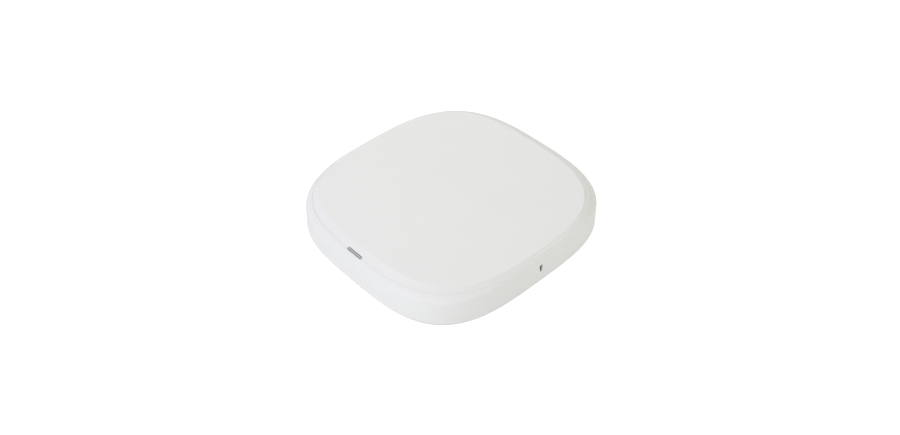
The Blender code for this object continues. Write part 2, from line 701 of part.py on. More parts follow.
def build_main_board(material):
    """Laminate with chamfered corners and clearance holes for its screws."""
    corner = 0.0060
    low_x, high_x, low_y, high_y = -BOARD_HALF_X, BOARD_HALF_X, BOARD_LOW_Y, BOARD_HIGH_Y
    points = [
        Vector((low_x + corner, low_y, 0.0)), Vector((high_x - corner, low_y, 0.0)),
        Vector((high_x, low_y + corner, 0.0)), Vector((high_x, high_y - corner, 0.0)),
        Vector((high_x - corner, high_y, 0.0)), Vector((low_x + corner, high_y, 0.0)),
        Vector((low_x, high_y - corner, 0.0)), Vector((low_x, low_y + corner, 0.0)),
    ]
    board = add_object("main_board", prism(points, BOARD_Z, BOARD_TOP_Z), material)
    holes = bmesh.new()
    for x, y in BOARD_SCREWS:
        add_cylinder(holes, (x, y, 0.0), SCREW_HOLE_RADIUS, BOARD_Z - 0.0010, BOARD_TOP_Z + 0.0010,
                     segments=SMALL_ROUND)
    cut(board, "cut_board_holes", holes)


def build_block(name, centre, size, low_z, material, bevel=0.0002):
    """Plain chip, pad or wound part: a box on its middle point, with softened edges."""
    x, y = centre
    half_x, half_y = size[0] / 2.0, size[1] / 2.0
    item = add_object(name, box((-half_x, -half_y, 0.0), (half_x, half_y, size[2])), material)
    item.location = (x, y, low_z)
    soften(item, bevel)


def hang_block(name, centre, size, material, bevel=0.0002):
    """The same, hanging from the underside of the board."""
    build_block(name, centre, size, UNDER_BOARD_Z - size[2], material, bevel)


def build_chips(black, pad):
    """Processor, memory and radios under the board, with their thermal pads."""
    hang_block("processor", (0.0, PROCESSOR_Y), (PROCESSOR_SIZE, PROCESSOR_SIZE, 0.0018), black)
    build_block("processor_thermal_pad", (0.0, PROCESSOR_Y), (0.0220, 0.0220, 0.0010),
                PROCESSOR_PEDESTAL_Z + GAP, pad)
    for index, x in enumerate((-0.0085, 0.0085), 1):
        hang_block(f"memory_chip_{index}", (x, 0.0120), (0.0090, 0.0135, 0.0011), black)
    hang_block("flash_chip", (0.0220, 0.0120), (0.0080, 0.0100, 0.0011), black)
    for index, side in enumerate((-1.0, 1.0), 1):
        place = (side * RADIO_X, RADIO_Y)
        hang_block(f"radio_chip_{index}", place, (0.0120, 0.0120, 0.0011), black)
        build_block(f"radio_thermal_pad_{index}", place, (0.0200, 0.0160, 0.0009),
                    RADIO_PEDESTAL_Z + GAP, pad)


def build_radio_shields(material):
    """Tin boxes over the radios, open towards the board."""
    sheet = 0.0004
    half_x, half_y = 0.0150, 0.0130
    low_z = RADIO_PEDESTAL_Z + 0.0015
    for index, side in enumerate((-1.0, 1.0), 1):
        middle = side * RADIO_X
        shield = add_object(f"radio_shield_{index}", box(
            (-half_x, -half_y, 0.0), (half_x, half_y, UNDER_BOARD_Z - low_z)), material)
        shield.location = (middle, RADIO_Y, low_z)
        cut(shield, f"cut_radio_shield_{index}", box(
            (middle - half_x + sheet, RADIO_Y - half_y + sheet, low_z + sheet),
            (middle + half_x - sheet, RADIO_Y + half_y - sheet, BOARD_Z + 0.0010)))


def build_power_parts(black, tape, can):
    """Power-over-Ethernet transformer, line transformers, choke and capacitors."""
    hang_block("poe_transformer", (0.0530, 0.0330), (0.0180, 0.0200, 0.0110), tape, bevel=0.0010)
    for index, x in enumerate(JACK_XS, 1):
        hang_block(f"line_transformer_{index}", (x, 0.0290), (0.0150, 0.0100, 0.0055), black, bevel=0.0004)
    hang_block("power_choke", (0.0370, 0.0300), (0.0100, 0.0100, 0.0045), black, bevel=0.0008)
    radius = 0.0040
    edge = 0.0003                # rounding of the can's end and depth of its crimp groove
    height = 0.0115
    groove_z = -0.0013           # the crimp groove runs round the can near the board
    for index, y in enumerate((0.0260, 0.0370), 1):
        item = add_object(f"power_capacitor_{index}", lathe([
            (radius - edge, -height), (radius, edge - height),
            (radius, groove_z - 0.0005), (radius - edge, groove_z - 0.0002),
            (radius - edge, groove_z + 0.0002), (radius, groove_z + 0.0005), (radius, 0.0),
        ]), can, smooth_angle=40.0)
        item.location = (-0.0520, y, UNDER_BOARD_Z)


# ---------------------------------------------------------------- ports

def build_jacks(shell, insert):
    """Two shielded modular jacks with their contact combs."""
    half_width, depth, height = 0.0080, 0.0210, 0.0130
    low_z = UNDER_BOARD_Z - height
    mouth_half_width, mouth_depth = 0.0059, 0.0150
    latch_half_width = 0.0031
    open_y = 0.0600              # the cuts run out through the jack's face
    for index, x in enumerate(JACK_XS, 1):
        jack = add_object(f"network_jack_{index}", box(
            (-half_width, -depth, 0.0), (half_width, 0.0, height)), shell)
        jack.location = (x, PORT_FACE_Y, low_z)
        cut(jack, f"cut_jack_mouth_{index}", box(
            (x - mouth_half_width, PORT_FACE_Y - mouth_depth, low_z + 0.0028),
            (x + mouth_half_width, open_y, low_z + 0.0098)))
        cut(jack, f"cut_jack_latch_{index}", box(
            (x - latch_half_width, PORT_FACE_Y - mouth_depth + 0.0002, low_z + 0.0012),
            (x + latch_half_width, open_y, low_z + 0.0032)))
        comb = add_object(f"jack_contacts_{index}", contact_comb(), insert)
        comb.location = (x, PORT_FACE_Y, low_z)


def contact_comb():
    """Eight sprung contacts on one bar, as a flat comb that points out of the jack."""
    pitch = 0.00102
    half_finger = 0.00025
    half_bar = 4.4 * pitch
    back_y = -0.0146
    root_y = back_y + 0.0040
    tip_y = back_y + 0.0105
    points = [Vector((-half_bar, back_y, 0.0)), Vector((half_bar, back_y, 0.0)),
              Vector((half_bar, root_y, 0.0))]
    for step in range(8):
        middle = (3.5 - step) * pitch
        points.append(Vector((middle + half_finger, root_y, 0.0)))
        points.append(Vector((middle + half_finger, tip_y, 0.0)))
        points.append(Vector((middle - half_finger, tip_y, 0.0)))
        points.append(Vector((middle - half_finger, root_y, 0.0)))
    points.append(Vector((-half_bar, root_y, 0.0)))
    return prism(points, 0.0086, 0.0094)


def build_usb_port(material):
    """Metal shell with its tongue: the mouth is cut away below and on both sides of it."""
    low_z = 0.0094
    half_width, depth = 0.0068, 0.0140
    mouth_half_width = 0.0062
    open_y = 0.0600
    port = add_object("usb_port", box(
        (-half_width, -depth, 0.0), (half_width, 0.0, UNDER_BOARD_Z - low_z)), material)
    port.location = (USB_X, PORT_FACE_Y, low_z)
    cut(port, "cut_usb_mouth_low", box(
        (USB_X - mouth_half_width, PORT_FACE_Y - 0.0110, 0.0098),
        (USB_X + mouth_half_width, open_y, 0.0118)))
    cut(port, "cut_usb_mouth_front", box(
        (USB_X - mouth_half_width, PORT_FACE_Y - 0.0040, 0.0112),
        (USB_X + mouth_half_width, open_y, 0.0140)))


def build_power_jack(material):
    """Barrel socket with its centre pin left standing."""
    low_z = 0.0054
    half_width, depth = 0.0045, 0.0140
    bore_end_y = PORT_FACE_Y - 0.0100
    jack = add_object("power_jack", box(
        (-half_width, -depth, 0.0), (half_width, 0.0, UNDER_BOARD_Z - low_z)), material)
    jack.location = (POWER_X, PORT_FACE_Y, low_z)
    axis_point = (POWER_X, 0.0, POWER_Z)
    cut(jack, "cut_power_jack_bore", cylinder(axis_point, POWER_BORE_RADIUS, bore_end_y, 0.0600, axis="Y"))
    join(jack, "join_power_jack_pin", cylinder(
        axis_point, POWER_PIN_RADIUS, bore_end_y - 0.0010, PORT_FACE_Y - 0.0015,
        axis="Y", segments=SMALL_ROUND))


def build_reset(switch_material, button_material):
    """Side-acting switch and the button that slides through the port wall to reach it."""
    half_width, depth, height = 0.0030, 0.0040, 0.0080
    switch = add_object("reset_switch", box(
        (-half_width, -depth, 0.0), (half_width, 0.0, height)), switch_material)
    switch.location = (RESET_X, 0.0560, UNDER_BOARD_Z - height)
    soften(switch, 0.0002)
    flange_radius, flange = 0.0022, 0.0004
    length, nose = 0.0032, 0.0003
    button = lathe([
        (flange_radius, 0.0), (flange_radius, flange), (BUTTON_RADIUS, flange),
        (BUTTON_RADIUS, length - nose), (BUTTON_RADIUS - nose, length),
    ], segments=SMALL_ROUND)
    bmesh.ops.rotate(button, cent=(0.0, 0.0, 0.0), verts=button.verts,
                     matrix=Matrix.Rotation(math.radians(-90.0), 3, "X"))
    item = add_object("reset_button", button, button_material, smooth_angle=40.0)
    item.location = (RESET_X, 0.0568, RESET_Z)


# ---------------------------------------------------------------- light and antennas

def build_status_light(material):
    build_block("status_light", (0.0, -0.0683), (0.0035, 0.0030, 0.0016), ON_BOARD_Z, material)


def bridge(length, width, height, sheet, foot):
    """Bent strip: a flat top on two legs, with its feet turned outward."""
    half = length / 2.0
    profile = [
        (-half - foot, 0.0), (-half, 0.0), (-half, height - sheet), (half, height - sheet),
        (half, 0.0), (half + foot, 0.0), (half + foot, sheet), (half + sheet, sheet),
        (half + sheet, height), (-half - sheet, height), (-half - sheet, sheet), (-half - foot, sheet),
    ]
    sides = [[Vector((x, side * width / 2.0, z)) for x, z in profile] for side in (-1.0, 1.0)]
    return loft(sides)


def build_antennas(material, ceramic):
    """Stamped antennas round the edge of the board: four long, four short, one chip."""
    sheet = 0.0005
    for index, (x, y) in enumerate(LOW_BAND_PLACES, 1):
        long_strip = bridge(0.0260, 0.0080, 0.0060, sheet, 0.0020)
        antenna = add_object(f"low_band_antenna_{index}", long_strip, material)
        antenna.location = (x, y, ON_BOARD_Z)
    for index, (x, y) in enumerate(HIGH_BAND_PLACES, 1):
        short_strip = bridge(0.0130, 0.0060, 0.0055, sheet, 0.0016)
        antenna = add_object(f"high_band_antenna_{index}", short_strip, material)
        antenna.location = (x, y, ON_BOARD_Z)
        antenna.rotation_euler.z = math.radians(90.0)
    build_block("bluetooth_antenna", (0.0, 0.0580), (0.0070, 0.0020, 0.0012), ON_BOARD_Z, ceramic)


def build_cables(material):
    """Thin coaxial leads from the radios to the long antennas."""
    radius = 0.0006
    clearance = 0.0070           # distance from an antenna's middle to its lead's end
    for index, (antenna_x, antenna_y) in enumerate(LOW_BAND_PLACES, 1):
        side = math.copysign(1.0, antenna_x)
        inward = -math.copysign(1.0, antenna_y)
        end_y = antenna_y + inward * clearance
        path = ((antenna_x, end_y), (side * 0.044, end_y + inward * 0.018),
                (antenna_x, RADIO_Y - inward * 0.014), (side * 0.036, RADIO_Y - inward * 0.003))
        curve = bpy.data.curves.new(f"coax_cable_{index}", "CURVE")
        curve.dimensions = "3D"
        curve.bevel_depth = radius
        curve.bevel_resolution = 1
        curve.resolution_u = 5
        curve.use_fill_caps = True
        spline = curve.splines.new("BEZIER")
        spline.bezier_points.add(len(path) - 1)
        for point, (x, y) in zip(spline.bezier_points, path):
            point.co = (x, y, ON_BOARD_Z + radius)
            point.handle_left_type = "AUTO"
            point.handle_right_type = "AUTO"
        curve.materials.append(material)
        item = bpy.data.objects.new(f"coax_cable_{index}", curve)
        bpy.context.collection.objects.link(item)


# ---------------------------------------------------------------- assembly

def build_all():
    clear_scene()
    white = make_material("white_plastic", (0.80, 0.80, 0.79), 0.45)
    cast = make_material("cast_aluminium", (0.55, 0.56, 0.57), 0.45, 0.9)
    steel = make_material("zinc_steel", (0.62, 0.63, 0.64), 0.35, 1.0)
    dark_steel = make_material("blackened_screw", (0.08, 0.08, 0.08), 0.4, 0.8)
    tin = make_material("tinned_sheet", (0.70, 0.71, 0.70), 0.30, 1.0)
    smoky = make_material("light_window", (0.42, 0.44, 0.45), 0.25)
    laminate = make_material("board_laminate", (0.02, 0.10, 0.06), 0.5)
    black = make_material("black_moulding", (0.02, 0.02, 0.02), 0.5)
    pad = make_material("thermal_pad", (0.30, 0.42, 0.60), 0.8)
    tape = make_material("winding_tape", (0.65, 0.50, 0.10), 0.6)
    gold = make_material("contact_gold", (0.80, 0.60, 0.25), 0.3, 1.0)
    grey = make_material("grey_plastic", (0.25, 0.25, 0.26), 0.5)
    ceramic = make_material("ceramic", (0.75, 0.75, 0.72), 0.5)
    lens = make_material("lamp", (0.85, 0.87, 0.80), 0.3)
    sleeve = make_material("cable_sleeve", (0.05, 0.05, 0.05), 0.6)

    build_top_cap(white)
    build_side_housing(white)
    build_lock_plate(steel, dark_steel)
    build_light_pipe(smoky)
    build_base_plate(cast)
    build_base_screws(dark_steel)
    build_board_screws(steel)
    build_bracket_studs(steel)
    build_bracket(steel)
    build_main_board(laminate)
    build_chips(black, pad)
    build_radio_shields(tin)
    build_power_parts(black, tape, tin)
    build_jacks(tin, gold)
    build_usb_port(tin)
    build_power_jack(black)
    build_reset(black, grey)
    build_status_light(lens)
    build_antennas(tin, ceramic)
    build_cables(sleeve)


build_all()
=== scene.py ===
"""Looks of the ceiling access point: finished meshes and materials on the fixed CAD frame.

Everything is in metres.  -Y is the status-light side, +X the lock-slot side, +Y the
cable exit, +Z the front panel.
"""

import math

import bmesh
import bpy
from mathutils import Matrix, Vector


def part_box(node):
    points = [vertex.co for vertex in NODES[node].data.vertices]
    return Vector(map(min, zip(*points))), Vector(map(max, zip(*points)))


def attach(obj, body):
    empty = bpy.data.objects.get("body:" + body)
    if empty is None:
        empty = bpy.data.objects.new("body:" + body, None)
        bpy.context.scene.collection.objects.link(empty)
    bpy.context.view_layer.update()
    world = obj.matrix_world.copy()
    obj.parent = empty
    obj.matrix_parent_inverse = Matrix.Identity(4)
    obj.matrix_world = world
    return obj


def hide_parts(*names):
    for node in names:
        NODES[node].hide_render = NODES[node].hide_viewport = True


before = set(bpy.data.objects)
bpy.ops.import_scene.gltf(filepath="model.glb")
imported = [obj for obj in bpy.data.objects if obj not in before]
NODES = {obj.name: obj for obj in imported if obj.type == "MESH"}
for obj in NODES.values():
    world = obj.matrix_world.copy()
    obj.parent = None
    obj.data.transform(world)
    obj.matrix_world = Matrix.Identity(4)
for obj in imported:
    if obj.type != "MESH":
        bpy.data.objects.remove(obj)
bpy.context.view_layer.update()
MM = 0.001

# ---------------------------------------------------------------- sizes from the frame

CAP_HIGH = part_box("top_cap")[1]
WALL_LOW, WALL_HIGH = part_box("side_housing")
PLATE_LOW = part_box("base_plate")[0]

# Body outlines: half width in X, half width in Y, superellipse exponent.
RIM_OUTLINE = (WALL_HIGH.x, -WALL_LOW.y, 3.40)
WALL_OUTLINE = (WALL_HIGH.x - 0.3 * MM, -WALL_LOW.y - 0.5 * MM, 3.40)
SEAM_OUTLINE = (CAP_HIGH.x, CAP_HIGH.y, 3.00)
PANEL_OUTLINE = (CAP_HIGH.x - 2.8 * MM, CAP_HIGH.y - 6.5 * MM, 3.04)

RIM_Z = WALL_LOW.z
TOP_Z = CAP_HIGH.z
SEAM_Z = TOP_Z - 3.0 * MM
SHOULDER_SLOPE = 0.90            # fall of the wall's shoulder for each unit of its width
SKIN = 2.4 * MM                  # thickness of the wall
GAP = 0.3 * MM                   # clearance between neighbouring pieces in the frame
SEAM_WIDTH = 0.09 * MM           # clearance seen between the cap and the wall
WALL_SEAM_OUTLINE = (SEAM_OUTLINE[0] + 0.07 * MM, SEAM_OUTLINE[1] + SEAM_WIDTH, SEAM_OUTLINE[2])
CAP_BEND = -0.30                 # share of the shoulder's fall that is bent: hollow on the cap
WALL_BEND = 0.30                 # and crowned on the wall
FINE_SEGMENTS = 288              # points round each finished outline
CORNER_BIAS = 0.10               # how strongly those points gather at the corners

# The status light is a capsule that leans with the shoulder.
LIGHT_CENTRE = Vector((0.0, -0.0955, SEAM_Z + 0.1 * MM))
LIGHT_TILT = math.radians(36.0)
LIGHT_LENGTH = 15.8 * MM
LIGHT_WIDTH = 2.3 * MM

LOCK_LOW, LOCK_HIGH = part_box("lock_slot_plate")
LOCK_Y = (LOCK_LOW.y + LOCK_HIGH.y) / 2.0
LOCK_Z = 12.9 * MM
LOCK_LENGTH = 7.0 * MM
LOCK_WIDTH = 3.0 * MM
LOCK_SKIN = 1.7 * MM             # wall left round the slot by the pocket behind it
LOCK_POCKET_REACH = 6.0 * MM     # half the pocket's height and length

THREAD_RIDGE = 0.3 * MM
THREAD_PITCH = 0.8 * MM
SMOOTH_ANGLE = math.radians(35.0)    # sharper edges than this stay sharp


# ---------------------------------------------------------------- outline geometry

def outline_angles():
    """Directions of the outline points, closer together towards the four corners."""
    steps = [2.0 * math.pi * index / FINE_SEGMENTS for index in range(FINE_SEGMENTS)]
    return [step + CORNER_BIAS * math.sin(4.0 * step) for step in steps]


ANGLES = outline_angles()


def radii(shape, inset=0.0):
    """Distance from the centre to a superellipse, drawn in by inset, in each direction."""
    half_x, half_y, exponent = shape
    found = []
    for angle in ANGLES:
        along_x = abs(math.cos(angle) / (half_x - inset)) ** exponent
        along_y = abs(math.sin(angle) / (half_y - inset)) ** exponent
        found.append((along_x + along_y) ** (-1.0 / exponent))
    return found


def ring(shape, inset, height):
    """Loop of points on a superellipse, at one height or at one height each."""
    heights = height if isinstance(height, list) else [height] * len(ANGLES)
    return [Vector((r * math.cos(a), r * math.sin(a), z))
            for a, r, z in zip(ANGLES, radii(shape, inset), heights)]


def slope_loops(upper, lower, bend, count):
    """Loops on the way down between two loops; the slope steepens outward when bend is positive."""
    loops = []
    for step in range(1, count + 1):
        share = step / (count + 1)
        fall = (1.0 - bend) * share + bend * share ** 2
        loop = []
        for a, b in zip(upper, lower):
            loop.append(Vector((a.x + (b.x - a.x) * share,
                                a.y + (b.y - a.y) * share,
                                a.z + (b.z - a.z) * fall)))
        loops.append(loop)
    return loops


def fillet_loops(before, corner, after, radius, steps):
    """Loops of a rounded edge at corner, between its neighbours, with one radius or one each."""
    reaches = radius if isinstance(radius, list) else [radius] * len(corner)
    loops = []
    for step in range(steps + 1):
        t = step / steps
        loop = []
        for a, b, c, reach in zip(before, corner, after, reaches):
            start = b + (a - b).normalized() * min(reach, (a - b).length * 0.45)
            end = b + (c - b).normalized() * min(reach, (c - b).length * 0.45)
            loop.append(start * (1.0 - t) ** 2 + b * 2.0 * t * (1.0 - t) + end * t ** 2)
        loops.append(loop)
    return loops


def with_fillets(loops, fillets):
    """Replace the loops named in fillets {index: (radius, steps)} by rounded edges."""
    result = []
    for index, loop in enumerate(loops):
        if index in fillets:
            before = loops[(index - 1) % len(loops)]
            after = loops[(index + 1) % len(loops)]
            result.extend(fillet_loops(before, loop, after, *fillets[index]))
        else:
            result.append(loop)
    return result


def loft(loops, closed=False):
    """Skin between loops of equal length; closed joins the last loop to the first."""
    made = bmesh.new()
    rings = [[made.verts.new(point) for point in loop] for loop in loops]
    pairs = list(zip(rings, rings[1:]))
    if closed:
        pairs.append((rings[-1], rings[0]))
    else:
        made.faces.new(rings[0])
        made.faces.new(rings[-1])
    for lower, upper in pairs:
        for index in range(len(lower)):
            after = (index + 1) % len(lower)
            made.faces.new((lower[index], lower[after], upper[after], upper[index]))
    return made


def capsule(length, width, low_z, high_z, steps=12):
    """Upright prism with a capsule outline along X, centred on the origin."""
    radius = width / 2.0
    reach = length / 2.0 - radius
    points = []
    for side, turn in ((1.0, 0.0), (-1.0, math.pi)):
        for step in range(steps + 1):
            angle = math.pi * (step / steps - 0.5) + turn
            points.append((side * reach + radius * math.cos(angle), radius * math.sin(angle)))
    return prism(points, low_z, high_z)


def prism(points, low_z, high_z):
    """Upright prism on (x, y) points."""
    return loft([[Vector((x, y, z)) for x, y in points] for z in (low_z, high_z)])


def block(low, high):
    """Box between two corners."""
    points = [(low[0], low[1]), (high[0], low[1]), (high[0], high[1]), (low[0], high[1])]
    return prism(points, low[2], high[2])


def circle(radius, segments):
    """Evenly spaced (x, y) points round the origin."""
    turns = [2.0 * math.pi * step / segments for step in range(segments)]
    return [(radius * math.cos(turn), radius * math.sin(turn)) for turn in turns]


def lathe(profile, segments=64):
    """Solid turned about Z from (radius, height) points."""
    return loft([[Vector((x, y, height)) for x, y in circle(radius, segments)]
                 for radius, height in profile])


def along_y(made):
    """Turn a solid that stands along Z so that it lies along Y."""
    return moved(made, Matrix.Rotation(math.radians(-90.0), 4, "X"))


def moved(made, matrix):
    bmesh.ops.transform(made, matrix=matrix, verts=made.verts)
    return made


def piece(name, made):
    """Turn a bmesh into a smooth-shaded piece whose flat areas stay flat."""
    bmesh.ops.recalc_face_normals(made, faces=made.faces)
    mesh = bpy.data.meshes.new(name)
    made.to_mesh(mesh)
    made.free()
    mesh.shade_smooth()
    mesh.set_sharp_from_angle(angle=SMOOTH_ANGLE)
    item = bpy.data.objects.new(name, mesh)
    bpy.context.scene.collection.objects.link(item)
    return item


def bake(item):
    """Keep the result of a piece's modifiers in its mesh."""
    bpy.context.view_layer.update()
    graph = bpy.context.evaluated_depsgraph_get()
    mesh = bpy.data.meshes.new_from_object(item.evaluated_get(graph))
    item.modifiers.clear()
    item.data = mesh


def cut(item, made, operation="DIFFERENCE"):
    """Cut a closed shape out of a piece, or join it on with operation UNION."""
    tool = piece("cutting_tool", made)
    modifier = item.modifiers.new("cut", "BOOLEAN")
    modifier.operation = operation
    modifier.solver = "EXACT"
    modifier.object = tool
    bake(item)
    bpy.data.objects.remove(tool, do_unlink=True)


def level_normals(item):
    """Shade rounded edges smoothly while large faces keep their own direction."""
    item.data.shade_smooth()
    item.data.set_sharp_from_angle(angle=SMOOTH_ANGLE)
    modifier = item.modifiers.new("level_normals", "WEIGHTED_NORMAL")
    modifier.keep_sharp = True


def round_edges(item, width, segments=3):
    """Round the sharp edges of a piece."""
    bevel = item.modifiers.new("round_edges", "BEVEL")
    bevel.width = width
    bevel.segments = segments
    bevel.limit_method = "ANGLE"
    bevel.angle_limit = SMOOTH_ANGLE
    bevel.use_clamp_overlap = False
    item.data.shade_smooth()
    item.modifiers.new("level_normals", "WEIGHTED_NORMAL")


def refine(node, width):
    """Round the edges of a CAD piece, which arrives as separate flat triangles."""
    weld = node.modifiers.new("weld", "WELD")
    weld.merge_threshold = 0.001 * MM
    flatten = node.modifiers.new("merge_flat_areas", "DECIMATE")
    flatten.decimate_type = "DISSOLVE"
    flatten.angle_limit = math.radians(1.0)
    round_edges(node, width, segments=2)


def install(item, body, slot, *nodes):
    """Let a piece ride on its body, take its finish from a slot and stand for CAD nodes."""
    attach(item, body)
    item.data.materials.clear()
    item.data.materials.append(FINISHES[slot])
    if nodes:
        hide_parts(*nodes)
    return item


def tilt_window(made):
    """Move a shape made round the origin to the status light."""
    return moved(made, Matrix.Translation(LIGHT_CENTRE) @ Matrix.Rotation(LIGHT_TILT, 4, "X"))


def tilt_slot(made):
    """Lay a shape that stands along Z so that it points out through the lock slot."""
    place = Matrix.Translation((0.0, LOCK_Y, LOCK_Z))
    return moved(made, place @ Matrix.Rotation(math.radians(90.0), 4, "Y"))


# ---------------------------------------------------------------- outer shells

def build_cap():
    """Front cap: flat panel, sloping shoulder, and the skirt that drops into the wall."""
    skirt_outside, skirt_inside = 1.5 * MM, 2.9 * MM
    lip_z = SEAM_Z - 0.9 * MM
    skirt_z = SEAM_Z - 4.9 * MM
    ceiling_z = TOP_Z - 2.1 * MM
    panel_edge = ring(PANEL_OUTLINE, 0.0, TOP_Z)
    seam_edge = ring(SEAM_OUTLINE, 0.0, SEAM_Z)
    loops = with_fillets([
        ring(PANEL_OUTLINE, 6.0 * MM, TOP_Z),
        panel_edge,
        *slope_loops(panel_edge, seam_edge, CAP_BEND, 4),
        seam_edge,
        ring(SEAM_OUTLINE, 0.0, lip_z),
        ring(SEAM_OUTLINE, skirt_outside, lip_z),
        ring(SEAM_OUTLINE, skirt_outside, skirt_z),
        ring(SEAM_OUTLINE, skirt_inside, skirt_z),
        ring(SEAM_OUTLINE, skirt_inside, ceiling_z),
        ring(PANEL_OUTLINE, 8.0 * MM, ceiling_z),
    ], {1: (0.28 * MM, 3), 6: (0.10 * MM, 2)})
    cap = piece("front_cap", loft(loops))
    cut(cap, window_opening())
    level_normals(cap)
    install(cap, "housing", "white_plastic", "top_cap")


def window_opening():
    return tilt_window(capsule(LIGHT_LENGTH, LIGHT_WIDTH, -6.0 * MM, 4.0 * MM))


def shoulder_reach():
    """Width of the wall's shoulder in each direction."""
    return [wall - seam for wall, seam in zip(radii(WALL_OUTLINE), radii(SEAM_OUTLINE))]


def build_wall():
    """Side wall with its shoulder, screw bosses, lock slot and cable exit."""
    ledge_inset, ledge_z, ledge_depth = 1.2 * MM, SEAM_Z - 1.2 * MM, 3.4 * MM
    reach = shoulder_reach()
    edge = [SEAM_Z - width * SHOULDER_SLOPE for width in reach]
    edge_radius = [0.4 * MM + 0.5 * width for width in reach]
    seam_edge = ring(WALL_SEAM_OUTLINE, 0.0, SEAM_Z - 0.07 * MM)
    wall_edge = ring(WALL_OUTLINE, 0.0, edge)
    loops = with_fillets([
        ring(WALL_SEAM_OUTLINE, 0.0, ledge_z),
        seam_edge,
        *slope_loops(seam_edge, wall_edge, WALL_BEND, 2),
        wall_edge,
        ring(RIM_OUTLINE, 0.0, RIM_Z),
        ring(RIM_OUTLINE, SKIN, RIM_Z),
        ring(RIM_OUTLINE, SKIN, [z - ledge_depth for z in edge]),
        ring(SEAM_OUTLINE, ledge_inset, SEAM_Z - ledge_depth),
        ring(SEAM_OUTLINE, ledge_inset, ledge_z),
    ], {1: (0.08 * MM, 2), 4: (edge_radius, 6), 5: (0.6 * MM, 4), 6: (0.3 * MM, 2)})
    wall = piece("side_wall", loft(loops, closed=True))
    for number in range(1, 5):
        add_screw_boss(wall, number)
    cut(wall, window_opening())
    cut(wall, lock_opening())
    cut(wall, lock_pocket())
    cut(wall, exit_tunnel(90.0 * MM, 105.0 * MM))
    level_normals(wall)
    install(wall, "housing", "white_plastic", "side_housing")


def lock_opening():
    return tilt_slot(capsule(LOCK_LENGTH, LOCK_WIDTH, WALL_HIGH.x - 5.0 * MM, WALL_HIGH.x + 2.0 * MM))


def lock_pocket():
    """Hollow that thins the wall round the lock slot."""
    low = (LOCK_HIGH.x - SKIN, LOCK_Y - LOCK_POCKET_REACH, LOCK_Z - LOCK_POCKET_REACH)
    high = (WALL_HIGH.x - LOCK_SKIN, LOCK_Y + LOCK_POCKET_REACH, LOCK_Z + LOCK_POCKET_REACH)
    return block(low, high)


def add_screw_boss(wall, number):
    """Boss for a base screw, tied to the corner of the wall by a rib."""
    x, y, _ = middle(f"base_screw_{number}")
    low_z = PLATE_LOW.z + 2.3 * MM
    place = Matrix.Translation((x, y, 0.0)) @ Matrix.Rotation(math.atan2(y, x), 4, "Z")
    rib = block((2.0 * MM, -1.1 * MM, low_z + GAP), (7.8 * MM, 1.1 * MM, 16.0 * MM))
    boss = lathe([(4.2 * MM, low_z), (4.0 * MM, 16.6 * MM), (3.6 * MM, 17.0 * MM)], 48)
    hole = lathe([(1.5 * MM, 0.0), (1.5 * MM, 15.0 * MM)], 32)
    cut(wall, moved(rib, place), "UNION")
    cut(wall, moved(boss, Matrix.Translation((x, y, 0.0))), "UNION")
    cut(wall, moved(hole, Matrix.Translation((x, y, 0.0))))


def exit_tunnel(low_y, high_y):
    """Round-cornered tunnel for the cables, as cut in the wall."""
    half_width, top_z, corner = 17.0 * MM, 8.0 * MM, 2.5 * MM
    points = []
    for centre_x, start in ((half_width - corner, 0.0), (corner - half_width, 90.0)):
        for step in range(9):
            angle = math.radians(start + 90.0 * step / 8.0)
            points.append((centre_x + corner * math.cos(angle),
                           top_z - corner + corner * math.sin(angle)))
    points.extend([(-half_width, -1.0 * MM), (half_width, -1.0 * MM)])
    return loft([[Vector((x, y, z)) for x, z in points] for y in (low_y, high_y)])


def build_window():
    """Status-light window: a smoky bar a little below the surface, with its leg to the lamp."""
    clearance = 0.8 * MM
    bar = capsule(LIGHT_LENGTH - clearance, LIGHT_WIDTH - clearance, -6.0 * MM, -0.25 * MM)
    window = piece("status_window", tilt_window(bar))
    low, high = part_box("light_pipe")
    leg = block((-3.0 * MM, LIGHT_CENTRE.y + 3.1 * MM, low.z), (3.0 * MM, high.y, low.z + 1.8 * MM))
    cut(window, leg, "UNION")
    round_edges(window, 0.15 * MM)
    install(window, "housing", "light_window", "light_pipe")


# ---------------------------------------------------------------- screws and studs

def middle(node):
    """Middle of a CAD node's box."""
    low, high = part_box(node)
    return (low + high) / 2.0


def thread(core, ridge, pitch, low_z, high_z, segments=24, steps=6):
    """Loops of a helical thread with a pointed ridge, tapering at its end."""
    count = int((high_z - low_z) / pitch * steps)
    loops = []
    for row in range(count + 1):
        height = low_z + (high_z - low_z) * row / count
        taper = min(1.0, (count - row) / (1.5 * steps))
        loop = []
        for step in range(segments):
            phase = ((height - low_z) / pitch - step / segments) % 1.0
            radius = (core + ridge * max(0.0, 1.0 - abs(phase - 0.5) * 3.2)) * (0.4 + 0.6 * taper)
            angle = 2.0 * math.pi * step / segments
            loop.append(Vector((radius * math.cos(angle), radius * math.sin(angle), height)))
        loops.append(loop)
    return loops


def six_lobes(radius, low_z, high_z, segments=48):
    """Star socket with six round lobes."""
    points = []
    for step in range(segments):
        angle = 2.0 * math.pi * step / segments
        reach = radius * (0.86 + 0.14 * math.cos(6.0 * angle))
        points.append((reach * math.cos(angle), reach * math.sin(angle)))
    return prism(points, low_z, high_z)


